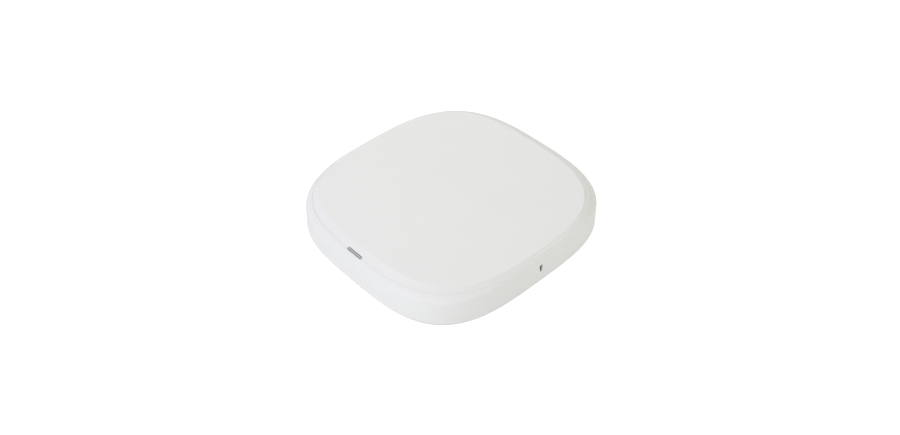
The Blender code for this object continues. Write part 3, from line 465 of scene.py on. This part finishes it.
def build_screw(node, slot, head_radius, head_height, core, head_up):
    """Pan-head screw with a star socket; head_up says whether its head is at the top."""
    low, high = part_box(node)
    length = high.z - low.z
    head = lathe([
        (head_radius * 0.80, 0.0), (head_radius * 0.93, head_height * 0.12),
        (head_radius, head_height * 0.45), (head_radius, head_height), (core, head_height),
    ], 48)
    shank = loft(thread(core, THREAD_RIDGE, THREAD_PITCH, head_height * 0.8, length))
    screw = piece(f"{node}_finished", head)
    cut(screw, shank, "UNION")
    cut(screw, six_lobes(head_radius * 0.42, -1.0 * MM, head_height * 0.6))
    turn = Matrix.Rotation(math.pi if head_up else 0.0, 4, "X")
    at = middle(node)
    start = Vector((at.x, at.y, high.z if head_up else low.z))
    screw.data.transform(Matrix.Translation(start) @ turn)
    level_normals(screw)
    install(screw, "housing", slot, node)


def build_screws():
    """Base screws with their heads down, board screws and the lock plate's screw with heads up."""
    for number in range(1, 5):
        build_screw(f"base_screw_{number}", "blackened_screw", 3.3 * MM, 1.1 * MM, 1.15 * MM, False)
    for number in range(1, 6):
        build_screw(f"board_screw_{number}", "zinc_steel", 2.7 * MM, 1.3 * MM, 1.0 * MM, True)
    build_screw("lock_plate_screw", "blackened_screw", 2.4 * MM, 1.1 * MM, 1.0 * MM, True)


def build_studs():
    """Shouldered studs riveted through the recess floor; the bracket's keyholes grip them."""
    for number in range(1, 4):
        node = f"bracket_stud_{number}"
        low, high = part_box(node)
        neck, head, rivet = 2.6 * MM, 4.7 * MM, 2.0 * MM
        head_top, foot, floor_top = low.z + 1.4 * MM, high.z - 3.6 * MM, high.z - 1.0 * MM
        stud = lathe([
            (1.6 * MM, low.z + 0.25 * MM), (2.4 * MM, low.z + 0.25 * MM), (2.6 * MM, low.z),
            (4.1 * MM, low.z), (head, low.z + 0.5 * MM), (head, head_top),
            (neck, head_top), (neck, foot), (rivet, foot), (rivet, floor_top),
            (3.5 * MM, floor_top), (3.4 * MM, high.z - 0.3 * MM), (2.6 * MM, high.z),
        ])
        at = (low + high) / 2.0
        item = piece(f"{node}_finished", moved(stud, Matrix.Translation((at.x, at.y, 0.0))))
        round_edges(item, 0.12 * MM)
        install(item, "housing", "zinc_steel", node)


# ---------------------------------------------------------------- ports

def build_network_jack(number):
    """Modular jack: a folded shield round a black insert with a latch channel."""
    node = f"network_jack_{number}"
    build_jack_shield(node)
    build_jack_insert(node)


def build_jack_shield(node):
    """Sheet shield, open towards +Y, with two spring slits in each side."""
    low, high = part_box(node)
    centre_x = middle(node).x
    sheet = 0.35 * MM
    shield = piece(f"{node}_shield", block(low, high))
    cut(shield, block((low.x + sheet, low.y + sheet, low.z + sheet),
                      (high.x - sheet, high.y + 1.0 * MM, high.z - sheet)))
    for side in (-1.0, 1.0):
        edge_x = centre_x + side * 8.0 * MM
        for slit_z in (low.z + 4.0 * MM, low.z + 7.0 * MM):
            cut(shield, block((edge_x - 0.6 * MM, high.y - 7.0 * MM, slit_z),
                              (edge_x + 0.6 * MM, high.y - 3.0 * MM, slit_z + 0.6 * MM)))
    round_edges(shield, 0.08 * MM, 2)
    install(shield, "housing", "tinned_sheet", node)


def build_jack_insert(node):
    """Black insert with the plug's mouth and the narrower latch channel under it."""
    low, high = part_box(node)
    centre_x = middle(node).x
    inset = 0.40 * MM
    mouth_reach, latch_reach = 5.9 * MM, 3.1 * MM
    insert = piece(f"{node}_insert", block(
        (low.x + inset, low.y + inset, low.z + inset),
        (high.x - inset, high.y - 0.3 * MM, high.z - inset)))
    cut(insert, block((centre_x - mouth_reach, high.y - 15.0 * MM, low.z + 2.8 * MM),
                      (centre_x + mouth_reach, high.y + 1.0 * MM, low.z + 9.8 * MM)))
    cut(insert, block((centre_x - latch_reach, high.y - 14.8 * MM, low.z + 1.2 * MM),
                      (centre_x + latch_reach, high.y + 1.0 * MM, low.z + 3.2 * MM)))
    round_edges(insert, 0.15 * MM, 2)
    install(insert, "housing", "black_moulding")


def build_usb_port():
    """Serial-bus port: a tin shell with a black tongue that carries four contacts."""
    low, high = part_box("usb_port")
    centre_x = middle("usb_port").x
    sheet = 0.35 * MM
    shell = piece("usb_port_shell", block(low, high))
    cut(shell, block((low.x + sheet, low.y + sheet, low.z + sheet),
                     (high.x - sheet, high.y + 1.0 * MM, high.z - 2.0 * MM)))
    round_edges(shell, 0.10 * MM, 2)
    install(shell, "housing", "tinned_sheet", "usb_port")
    tongue = piece("usb_port_tongue", block(
        (centre_x - 5.2 * MM, low.y + 0.5 * MM, low.z + 2.9 * MM),
        (centre_x + 5.2 * MM, high.y - 2.5 * MM, low.z + 4.7 * MM)))
    round_edges(tongue, 0.20 * MM, 2)
    install(tongue, "housing", "black_moulding")
    pads = piece("usb_port_contacts", usb_contacts(centre_x, low, high))
    round_edges(pads, 0.03 * MM, 2)
    install(pads, "housing", "contact_gold")


def usb_contacts(centre_x, low, high):
    """Four flat contacts under the tongue, joined by a bar at their back."""
    points = [(centre_x - 4.0 * MM, low.y + 0.8 * MM), (centre_x + 4.0 * MM, low.y + 0.8 * MM)]
    for step in (1.5, 0.5, -0.5, -1.5):
        at = centre_x + step * 2.2 * MM
        points.extend([(at + 0.5 * MM, low.y + 2.0 * MM), (at + 0.5 * MM, high.y - 3.2 * MM),
                       (at - 0.5 * MM, high.y - 3.2 * MM), (at - 0.5 * MM, low.y + 2.0 * MM)])
    return prism(points, low.z + 2.75 * MM, low.z + 2.95 * MM)


def build_power_jack():
    """Barrel socket: moulded body and a turned centre pin."""
    low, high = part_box("power_jack")
    place = Matrix.Translation((middle("power_jack").x, high.y, low.z + 4.4 * MM))
    body = piece("power_jack_body", block(low, high))
    bore = along_y(lathe([(3.15 * MM, -10.0 * MM), (3.15 * MM, -0.5 * MM), (3.6 * MM, 0.05 * MM),
                          (3.6 * MM, 1.0 * MM)], 64))
    cut(body, moved(bore, place))
    round_edges(body, 0.20 * MM, 2)
    install(body, "housing", "black_moulding", "power_jack")
    pin = along_y(lathe([(1.0 * MM, -10.2 * MM), (1.0 * MM, -2.2 * MM), (0.85 * MM, -1.7 * MM),
                         (0.5 * MM, -1.45 * MM), (0.1 * MM, -1.4 * MM)], 32))
    item = piece("power_jack_pin", moved(pin, place))
    level_normals(item)
    install(item, "housing", "tinned_sheet")


def build_reset_button():
    """Small button with a domed, dished tip for a pen point."""
    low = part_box("reset_button")[0]
    at = middle("reset_button")
    button = along_y(lathe([
        (2.2 * MM, 0.0), (2.2 * MM, 0.4 * MM), (1.4 * MM, 0.4 * MM), (1.4 * MM, 2.8 * MM),
        (1.25 * MM, 3.1 * MM), (1.0 * MM, 3.2 * MM), (0.7 * MM, 3.1 * MM), (0.3 * MM, 3.0 * MM)], 48))
    item = piece("reset_button_finished", moved(button, Matrix.Translation((at.x, low.y, at.z))))
    level_normals(item)
    install(item, "reset", "grey_plastic", "reset_button")


# ---------------------------------------------------------------- carried-over pieces

# How far the edges of the carried-over CAD pieces are rounded, by finish.
EDGE_ROUNDING = {
    "cast_aluminium": 0.25 * MM, "zinc_steel": 0.15 * MM, "board_laminate": 0.04 * MM,
    "black_moulding": 0.10 * MM, "thermal_pad": 0.10 * MM, "tinned_sheet": 0.06 * MM,
    "capacitor_can": 0.10 * MM, "winding_tape": 0.30 * MM, "contact_gold": 0.05 * MM,
    "ceramic": 0.08 * MM, "lamp": 0.15 * MM, "cable_sleeve": 0.12 * MM,
}


def dress_cad_nodes():
    """Give each CAD piece that is still shown rounded edges and the finish of its slot."""
    for node in NODES.values():
        if node.hide_render:
            continue
        slot = node.data.materials[0].name
        refine(node, EDGE_ROUNDING[slot])
        node.data.materials.clear()
        node.data.materials.append(FINISHES[slot])


# ---------------------------------------------------------------- finishes

class Finish:
    """A node material put together from noises at chosen sizes."""

    def __init__(self, name, metallic=0.0):
        self.material = bpy.data.materials.new(name)
        self.material.use_nodes = True
        self.tree = self.material.node_tree
        self.shader = self.tree.nodes["Principled BSDF"]
        self.shader.inputs["Metallic"].default_value = metallic
        self.place = self.tree.nodes.new("ShaderNodeTexCoord").outputs["Object"]

    def link(self, output, target):
        self.tree.links.new(output, target)

    def scaled_place(self, size, stretch):
        mapping = self.tree.nodes.new("ShaderNodeMapping")
        mapping.inputs["Scale"].default_value = [1.0 / (size * factor) for factor in stretch]
        self.link(self.place, mapping.inputs["Vector"])
        return mapping.outputs["Vector"]

    def noise(self, size, detail=3.0, stretch=(1.0, 1.0, 1.0)):
        """Cloudy noise whose features are about size metres across."""
        node = self.tree.nodes.new("ShaderNodeTexNoise")
        node.inputs["Scale"].default_value = 1.0
        node.inputs["Detail"].default_value = detail
        self.link(self.scaled_place(size, stretch), node.inputs["Vector"])
        return node.outputs["Fac"]

    def cells(self, size, stretch=(1.0, 1.0, 1.0)):
        """Distance from the nearest of many scattered points, about size metres apart."""
        node = self.tree.nodes.new("ShaderNodeTexVoronoi")
        node.inputs["Scale"].default_value = 1.0
        self.link(self.scaled_place(size, stretch), node.inputs["Vector"])
        return node.outputs["Distance"]

    def bands(self, size, direction="X", distortion=0.0):
        """Stripes size metres apart."""
        node = self.tree.nodes.new("ShaderNodeTexWave")
        node.bands_direction = direction
        node.inputs["Scale"].default_value = 0.314
        node.inputs["Distortion"].default_value = distortion
        self.link(self.scaled_place(size, (1.0, 1.0, 1.0)), node.inputs["Vector"])
        return node.outputs["Fac"]

    def spread(self, value, low, high, from_low=0.25, from_high=0.75):
        """Map a value onto the range low to high."""
        node = self.tree.nodes.new("ShaderNodeMapRange")
        node.inputs["From Min"].default_value = from_low
        node.inputs["From Max"].default_value = from_high
        node.inputs["To Min"].default_value = low
        node.inputs["To Max"].default_value = high
        self.link(value, node.inputs["Value"])
        return node.outputs["Result"]

    def mix(self, factor, first, second):
        """Blend two colours; each is an RGB triple or another mix."""
        node = self.tree.nodes.new("ShaderNodeMix")
        node.data_type = "RGBA"
        self.link(factor, node.inputs["Factor"])
        for colour, index in ((first, 6), (second, 7)):
            if isinstance(colour, tuple):
                node.inputs[index].default_value = (*colour, 1.0)
            else:
                self.link(colour, node.inputs[index])
        return node.outputs[2]

    def colour(self, output):
        self.link(output, self.shader.inputs["Base Color"])

    def roughness(self, output):
        self.link(output, self.shader.inputs["Roughness"])

    def bump(self, height, depth, strength=0.5):
        node = self.tree.nodes.new("ShaderNodeBump")
        node.inputs["Strength"].default_value = strength
        node.inputs["Distance"].default_value = depth
        self.link(height, node.inputs["Height"])
        self.link(node.outputs["Normal"], self.shader.inputs["Normal"])

    def edges(self):
        """High on worn outer edges, low in corners."""
        node = self.tree.nodes.new("ShaderNodeNewGeometry")
        return self.spread(node.outputs["Pointiness"], 0.0, 1.0, 0.52, 0.60)


def moulded(name, dark, light, roughness, grain=0.35 * MM, depth=0.02 * MM):
    """Moulded plastic: fine eroded grain, with slight clouds in colour and gloss."""
    finish = Finish(name)
    fine = finish.noise(grain, 4.0)
    finish.colour(finish.mix(finish.spread(finish.noise(30.0 * MM), 0.0, 1.0), dark, light))
    finish.roughness(finish.spread(fine, roughness - 0.06, roughness + 0.06))
    finish.bump(fine, depth, 0.3)
    return finish


def white_plastic():
    finish = moulded("white_eroded_plastic", (0.797, 0.797, 0.797), (0.805, 0.805, 0.804), 0.48)
    finish.shader.inputs["Coat Weight"].default_value = 0.04
    return finish


def cast_aluminium():
    """Die-cast and tumbled: sandy skin and faint flow marks, with painted shade darkening the colour
    in recesses.
    """
    finish = Finish("cast_aluminium_skin", 0.85)
    sand = finish.noise(0.6 * MM, 5.0)
    flow = finish.noise(14.0 * MM, 6.0, (1.0, 2.4, 1.0))
    metal = finish.mix(finish.spread(flow, 0.0, 1.0), (0.50, 0.51, 0.53), (0.63, 0.64, 0.65))
    # painted shade: ambient occlusion darkens the metal towards grey in recesses and corners
    painted_shade_occlusion = finish.tree.nodes.new("ShaderNodeAmbientOcclusion")
    painted_shade_occlusion.inputs["Distance"].default_value = 6.0 * MM
    shade = finish.spread(painted_shade_occlusion.outputs["AO"], 0.0, 1.0, 0.2, 0.95)
    finish.colour(finish.mix(shade, (0.30, 0.31, 0.32), metal))
    finish.roughness(finish.spread(sand, 0.42, 0.60))
    finish.bump(sand, 0.06 * MM, 0.6)
    return finish


def zinc_steel():
    """Zinc-plated sheet: rolling streaks and a faint blue-to-straw passivation tint."""
    finish = Finish("zinc_plated_steel", 1.0)
    streaks = finish.noise(0.35 * MM, 3.0, (40.0, 1.0, 1.0))
    tint = finish.spread(finish.noise(22.0 * MM, 2.0), 0.0, 1.0)
    metal = finish.mix(tint, (0.58, 0.62, 0.66), (0.68, 0.67, 0.61))
    finish.colour(finish.mix(finish.spread(streaks, 0.0, 0.35), metal, (0.42, 0.43, 0.44)))
    finish.roughness(finish.spread(streaks, 0.26, 0.44))
    finish.bump(streaks, 0.01 * MM, 0.35)
    return finish


def blackened_screw():
    """Black oxide, rubbed back to steel along its edges."""
    finish = Finish("black_oxide_steel", 0.9)
    patches = finish.noise(1.2 * MM, 4.0)
    black = finish.mix(finish.spread(patches, 0.0, 1.0), (0.018, 0.018, 0.020), (0.050, 0.050, 0.054))
    finish.colour(finish.mix(finish.edges(), black, (0.30, 0.30, 0.31)))
    finish.roughness(finish.spread(patches, 0.30, 0.50))
    finish.bump(patches, 0.02 * MM, 0.3)
    return finish


def tinned_sheet():
    """Bright tin with soft mottling and fine drawing lines."""
    finish = Finish("tinned_sheet", 1.0)
    mottle = finish.noise(2.5 * MM, 5.0)
    lines = finish.noise(0.2 * MM, 2.0, (1.0, 1.0, 30.0))
    finish.colour(finish.mix(finish.spread(mottle, 0.0, 1.0), (0.62, 0.63, 0.63), (0.76, 0.76, 0.74)))
    finish.roughness(finish.spread(mottle, 0.20, 0.36))
    finish.bump(lines, 0.006 * MM, 0.4)
    return finish


def contact_gold():
    finish = Finish("gold_plated_contacts", 1.0)
    wear = finish.noise(1.0 * MM, 4.0)
    finish.colour(finish.mix(finish.spread(wear, 0.0, 1.0), (0.83, 0.60, 0.24), (0.92, 0.72, 0.36)))
    finish.roughness(finish.spread(wear, 0.16, 0.32))
    finish.bump(wear, 0.005 * MM, 0.3)
    return finish


def capacitor_can():
    """Drawn aluminium can with faint drawing rings."""
    finish = Finish("drawn_aluminium_can", 1.0)
    rings = finish.noise(0.3 * MM, 2.0, (30.0, 30.0, 1.0))
    finish.colour(finish.mix(finish.spread(rings, 0.0, 1.0), (0.64, 0.65, 0.66), (0.75, 0.75, 0.75)))
    finish.roughness(finish.spread(rings, 0.22, 0.36))
    finish.bump(rings, 0.008 * MM, 0.4)
    return finish


def board_laminate():
    """Solder mask over copper tracks, with plated through-holes scattered between them."""
    finish = Finish("solder_mask_board")
    weave = finish.noise(0.5 * MM, 2.0)
    tracks = finish.tree.nodes.new("ShaderNodeTexBrick")
    tracks.inputs["Scale"].default_value = 1.0
    tracks.inputs["Mortar Size"].default_value = 0.12
    tracks.offset_frequency = 3
    finish.link(finish.scaled_place(2.4 * MM, (1.0, 1.0, 1.0)), tracks.inputs["Vector"])
    mask = finish.mix(tracks.outputs["Fac"], (0.010, 0.070, 0.040), (0.022, 0.140, 0.075))
    vias = finish.spread(finish.cells(3.1 * MM), 1.0, 0.0, 0.10, 0.13)
    finish.colour(finish.mix(vias, mask, (0.55, 0.50, 0.36)))
    finish.roughness(finish.spread(weave, 0.28, 0.42))
    finish.bump(tracks.outputs["Fac"], 0.03 * MM, 0.4)
    return finish


def thermal_pad():
    """Filled silicone pad: speckled and slightly tacky."""
    finish = Finish("filled_silicone_pad")
    speckle = finish.cells(0.45 * MM)
    specks = finish.spread(speckle, 0.0, 1.0, 0.1, 0.6)
    finish.colour(finish.mix(specks, (0.24, 0.35, 0.52), (0.33, 0.46, 0.63)))
    finish.roughness(finish.spread(speckle, 0.65, 0.85))
    finish.bump(speckle, 0.03 * MM, 0.4)
    return finish


def winding_tape():
    """Layers of polyester tape wound round the transformer."""
    finish = Finish("polyester_winding_tape")
    laps = finish.bands(2.2 * MM, "Z", 0.4)
    shade = finish.spread(laps, 0.0, 1.0, 0.0, 1.0)
    finish.colour(finish.mix(shade, (0.58, 0.42, 0.07), (0.72, 0.56, 0.13)))
    finish.roughness(finish.spread(finish.noise(1.5 * MM), 0.38, 0.60))
    finish.bump(laps, 0.05 * MM, 0.5)
    return finish


def light_window():
    """Smoky diffusing plastic: milky inside, faintly clouded."""
    finish = Finish("smoky_diffuser")
    cloud = finish.noise(1.5 * MM, 3.0)
    finish.colour(finish.mix(finish.spread(cloud, 0.0, 1.0), (0.40, 0.41, 0.41), (0.50, 0.50, 0.50)))
    finish.roughness(finish.spread(cloud, 0.18, 0.30))
    finish.shader.inputs["Coat Weight"].default_value = 0.3
    return finish


def lamp():
    """Unlit lamp: pale phosphor under a clear dome."""
    finish = Finish("lamp_phosphor")
    grain = finish.cells(0.3 * MM)
    grains = finish.spread(grain, 0.0, 1.0, 0.1, 0.6)
    finish.colour(finish.mix(grains, (0.80, 0.78, 0.52), (0.86, 0.85, 0.66)))
    finish.roughness(finish.spread(grain, 0.20, 0.35))
    finish.shader.inputs["Coat Weight"].default_value = 0.6
    return finish


def make_finishes():
    """All finishes by the name of the record's material slot."""
    made = {
        "white_plastic": white_plastic(),
        "cast_aluminium": cast_aluminium(),
        "zinc_steel": zinc_steel(),
        "blackened_screw": blackened_screw(),
        "light_window": light_window(),
        "lamp": lamp(),
        "board_laminate": board_laminate(),
        "black_moulding": moulded(
            "black_moulding", (0.012, 0.012, 0.013), (0.028, 0.028, 0.030), 0.50, 0.25 * MM),
        "thermal_pad": thermal_pad(),
        "tinned_sheet": tinned_sheet(),
        "capacitor_can": capacitor_can(),
        "winding_tape": winding_tape(),
        "contact_gold": contact_gold(),
        "grey_plastic": moulded("grey_button_plastic", (0.21, 0.21, 0.22), (0.28, 0.28, 0.29), 0.45),
        "ceramic": moulded("fired_ceramic", (0.68, 0.67, 0.63), (0.80, 0.80, 0.77), 0.55, 0.2 * MM),
        "cable_sleeve": moulded(
            "cable_sleeve", (0.030, 0.030, 0.032), (0.065, 0.065, 0.068), 0.38, 0.5 * MM),
    }
    return {slot: finish.material for slot, finish in made.items()}


# ---------------------------------------------------------------- studio

FLOOR_ALBEDO = 0.35
FLOOR_GLOW = 0.537               # lights the object from below
FLOOR_GLOW_SEEN = 0.80           # what the camera sees, so that the floor stays pale
FLOOR_COVER_REACH = 40.0 * MM    # how near the object must be for the painted shadow that dims the floor's glow
FLOOR_COVER_DARK, FLOOR_COVER_CLEAR = 0.15, 0.40     # openness where the glow is gone, and whole
FLOOR_Z = -0.10 * MM
FLOOR_HALF_SIZE = 4.0
FLOOR_CELLS = 41
UNDERLIGHT_GLOW = 0.60
UNDERLIGHT_INSET = 4.0 * MM
SKY_GLOW = 0.311
SKY_COLOUR = (1.0, 0.99, 0.84, 1.0)

LAMP_DISTANCE = 1.5
# Name, azimuth from the light side towards the lock side, elevation, diameter, power and colour.
LAMPS = (
    ("key_light", 0.0, 28.0, 1.0, 8.5, (0.86, 0.89, 1.00)),
    ("front_fill", 45.0, 28.0, 1.0, 4.25, (1.00, 1.00, 0.99)),
    ("right_fill", 135.0, 28.0, 1.0, 5.9, (0.99, 1.00, 0.95)),
    ("back_fill", 225.0, 28.0, 1.0, 2.7, (0.98, 1.00, 0.85)),
    ("left_fill", 270.0, 28.0, 1.0, 3.0, (0.82, 0.87, 1.00)),
    ("overhead_fill", 240.0, 58.0, 1.0, 3.6, (0.89, 0.87, 1.00)),
    ("overhead_light", 315.0, 62.0, 0.5, 3.0, (0.94, 0.89, 1.00)),
)

CAMERA_AZIMUTH = math.radians(46.74)
CAMERA_ELEVATION = math.radians(40.91)
CAMERA_DISTANCE = 0.7730         # from the middle of the front panel
CAMERA_LENS = 40.41              # on the default 36 mm sensor
CAMERA_SHIFT = (-0.0016, -0.0303)


def floor_glow(tree):
    """Strength of the floor's glow: one value for the camera, one for light, dimmed near the object
    as a painted shadow.
    """
    path = tree.nodes.new("ShaderNodeLightPath")
    glow = tree.nodes.new("ShaderNodeMapRange")
    glow.inputs["To Min"].default_value = FLOOR_GLOW
    glow.inputs["To Max"].default_value = FLOOR_GLOW_SEEN
    tree.links.new(path.outputs["Is Camera Ray"], glow.inputs["Value"])
    # painted shadow: ambient occlusion dims the floor's glow near the object, both as seen and as
    # light
    painted_shadow_occlusion = tree.nodes.new("ShaderNodeAmbientOcclusion")
    painted_shadow_occlusion.inputs["Distance"].default_value = FLOOR_COVER_REACH
    openness = tree.nodes.new("ShaderNodeMapRange")
    openness.inputs["From Min"].default_value = FLOOR_COVER_DARK
    openness.inputs["From Max"].default_value = FLOOR_COVER_CLEAR
    tree.links.new(painted_shadow_occlusion.outputs["AO"], openness.inputs["Value"])
    strength = tree.nodes.new("ShaderNodeMath")
    strength.operation = "MULTIPLY"
    tree.links.new(glow.outputs["Result"], strength.inputs[0])
    tree.links.new(openness.outputs["Result"], strength.inputs[1])
    return strength.outputs["Value"]


def floor_material():
    """Pale matt floor that glows a little; it can't be seen from underneath."""
    material = bpy.data.materials.new("pale_floor")
    material.use_nodes = True
    tree = material.node_tree
    shader = tree.nodes["Principled BSDF"]
    shader.inputs["Base Color"].default_value = (FLOOR_ALBEDO, FLOOR_ALBEDO, FLOOR_ALBEDO, 1.0)
    shader.inputs["Roughness"].default_value = 0.9
    shader.inputs["Specular IOR Level"].default_value = 0.0
    shader.inputs["Emission Color"].default_value = (1.0, 1.0, 1.0, 1.0)
    tree.links.new(floor_glow(tree), shader.inputs["Emission Strength"])
    facing = tree.nodes.new("ShaderNodeNewGeometry")
    clear = tree.nodes.new("ShaderNodeBsdfTransparent")
    either = tree.nodes.new("ShaderNodeMixShader")
    tree.links.new(facing.outputs["Backfacing"], either.inputs["Fac"])
    tree.links.new(shader.outputs["BSDF"], either.inputs[1])
    tree.links.new(clear.outputs["BSDF"], either.inputs[2])
    tree.links.new(either.outputs["Shader"], tree.nodes["Material Output"].inputs["Surface"])
    return material


def build_floor():
    made = bmesh.new()
    bmesh.ops.create_grid(made, x_segments=FLOOR_CELLS, y_segments=FLOOR_CELLS, size=FLOOR_HALF_SIZE)
    floor = piece("studio_floor", made)
    floor.location.z = FLOOR_Z
    floor.data.materials.append(floor_material())


def build_underlight():
    """Glowing sheet between the object and the floor: it lights the back in views from below."""
    material = bpy.data.materials.new("underlight")
    material.use_nodes = True
    tree = material.node_tree
    tree.nodes.remove(tree.nodes["Principled BSDF"])
    glow = tree.nodes.new("ShaderNodeEmission")
    glow.inputs["Strength"].default_value = UNDERLIGHT_GLOW
    tree.links.new(glow.outputs["Emission"], tree.nodes["Material Output"].inputs["Surface"])
    made = bmesh.new()
    made.faces.new([made.verts.new(point) for point in ring(WALL_OUTLINE, UNDERLIGHT_INSET, 0.0)])
    sheet = piece("underlight", made)
    sheet.location.z = FLOOR_Z / 2.0
    sheet.visible_camera = False
    sheet.data.materials.append(material)


def direction(azimuth, elevation):
    """Unit vector towards a point seen at these angles, azimuth from -Y towards +X."""
    return Vector((math.sin(azimuth) * math.cos(elevation), -math.cos(azimuth) * math.cos(elevation),
                   math.sin(elevation)))


def add_lamp(name, azimuth, elevation, size, energy, colour):
    """Round soft light that faces the object."""
    towards = direction(math.radians(azimuth), math.radians(elevation))
    data = bpy.data.lights.new(name, "AREA")
    data.shape = "DISK"
    data.size = size
    data.energy = energy
    data.color = colour
    item = bpy.data.objects.new(name, data)
    item.location = towards * LAMP_DISTANCE
    item.rotation_mode = "QUATERNION"
    item.rotation_quaternion = towards.to_track_quat("Z", "Y")
    bpy.context.scene.collection.objects.link(item)


def build_lights():
    """Soft sky, seen as a white backdrop, and the lamps."""
    world = bpy.data.worlds.new("soft_studio")
    bpy.context.scene.world = world
    world.use_nodes = True
    tree = world.node_tree
    sky = tree.nodes["Background"]
    sky.inputs["Color"].default_value = SKY_COLOUR
    sky.inputs["Strength"].default_value = SKY_GLOW
    backdrop = tree.nodes.new("ShaderNodeBackground")
    backdrop.inputs["Color"].default_value = (1.0, 1.0, 1.0, 1.0)
    path = tree.nodes.new("ShaderNodeLightPath")
    either = tree.nodes.new("ShaderNodeMixShader")
    tree.links.new(path.outputs["Is Camera Ray"], either.inputs["Fac"])
    tree.links.new(sky.outputs["Background"], either.inputs[1])
    tree.links.new(backdrop.outputs["Background"], either.inputs[2])
    tree.links.new(either.outputs["Shader"], tree.nodes["World Output"].inputs["Surface"])
    for lamp_values in LAMPS:
        add_lamp(*lamp_values)


def build_camera():
    """Camera that looks down over the corner between the light side and the lock side."""
    data = bpy.data.cameras.new("camera")
    camera = bpy.data.objects.new("camera", data)
    bpy.context.scene.collection.objects.link(camera)
    back = direction(CAMERA_AZIMUTH, CAMERA_ELEVATION)
    camera.location = Vector((0.0, 0.0, TOP_Z)) + back * CAMERA_DISTANCE
    camera.rotation_mode = "QUATERNION"
    camera.rotation_quaternion = back.to_track_quat("Z", "Y")
    data.lens = CAMERA_LENS
    data.shift_x, data.shift_y = CAMERA_SHIFT
    data.clip_start = 0.01
    bpy.context.scene.camera = camera
    bpy.context.scene.view_settings.view_transform = "Standard"


# ---------------------------------------------------------------- assembly

FINISHES = make_finishes()

build_cap()
build_wall()
build_window()
build_screws()
build_studs()
build_network_jack(1)
build_network_jack(2)
build_usb_port()
build_power_jack()
build_reset_button()
dress_cad_nodes()
build_floor()
build_underlight()
build_lights()
build_camera()
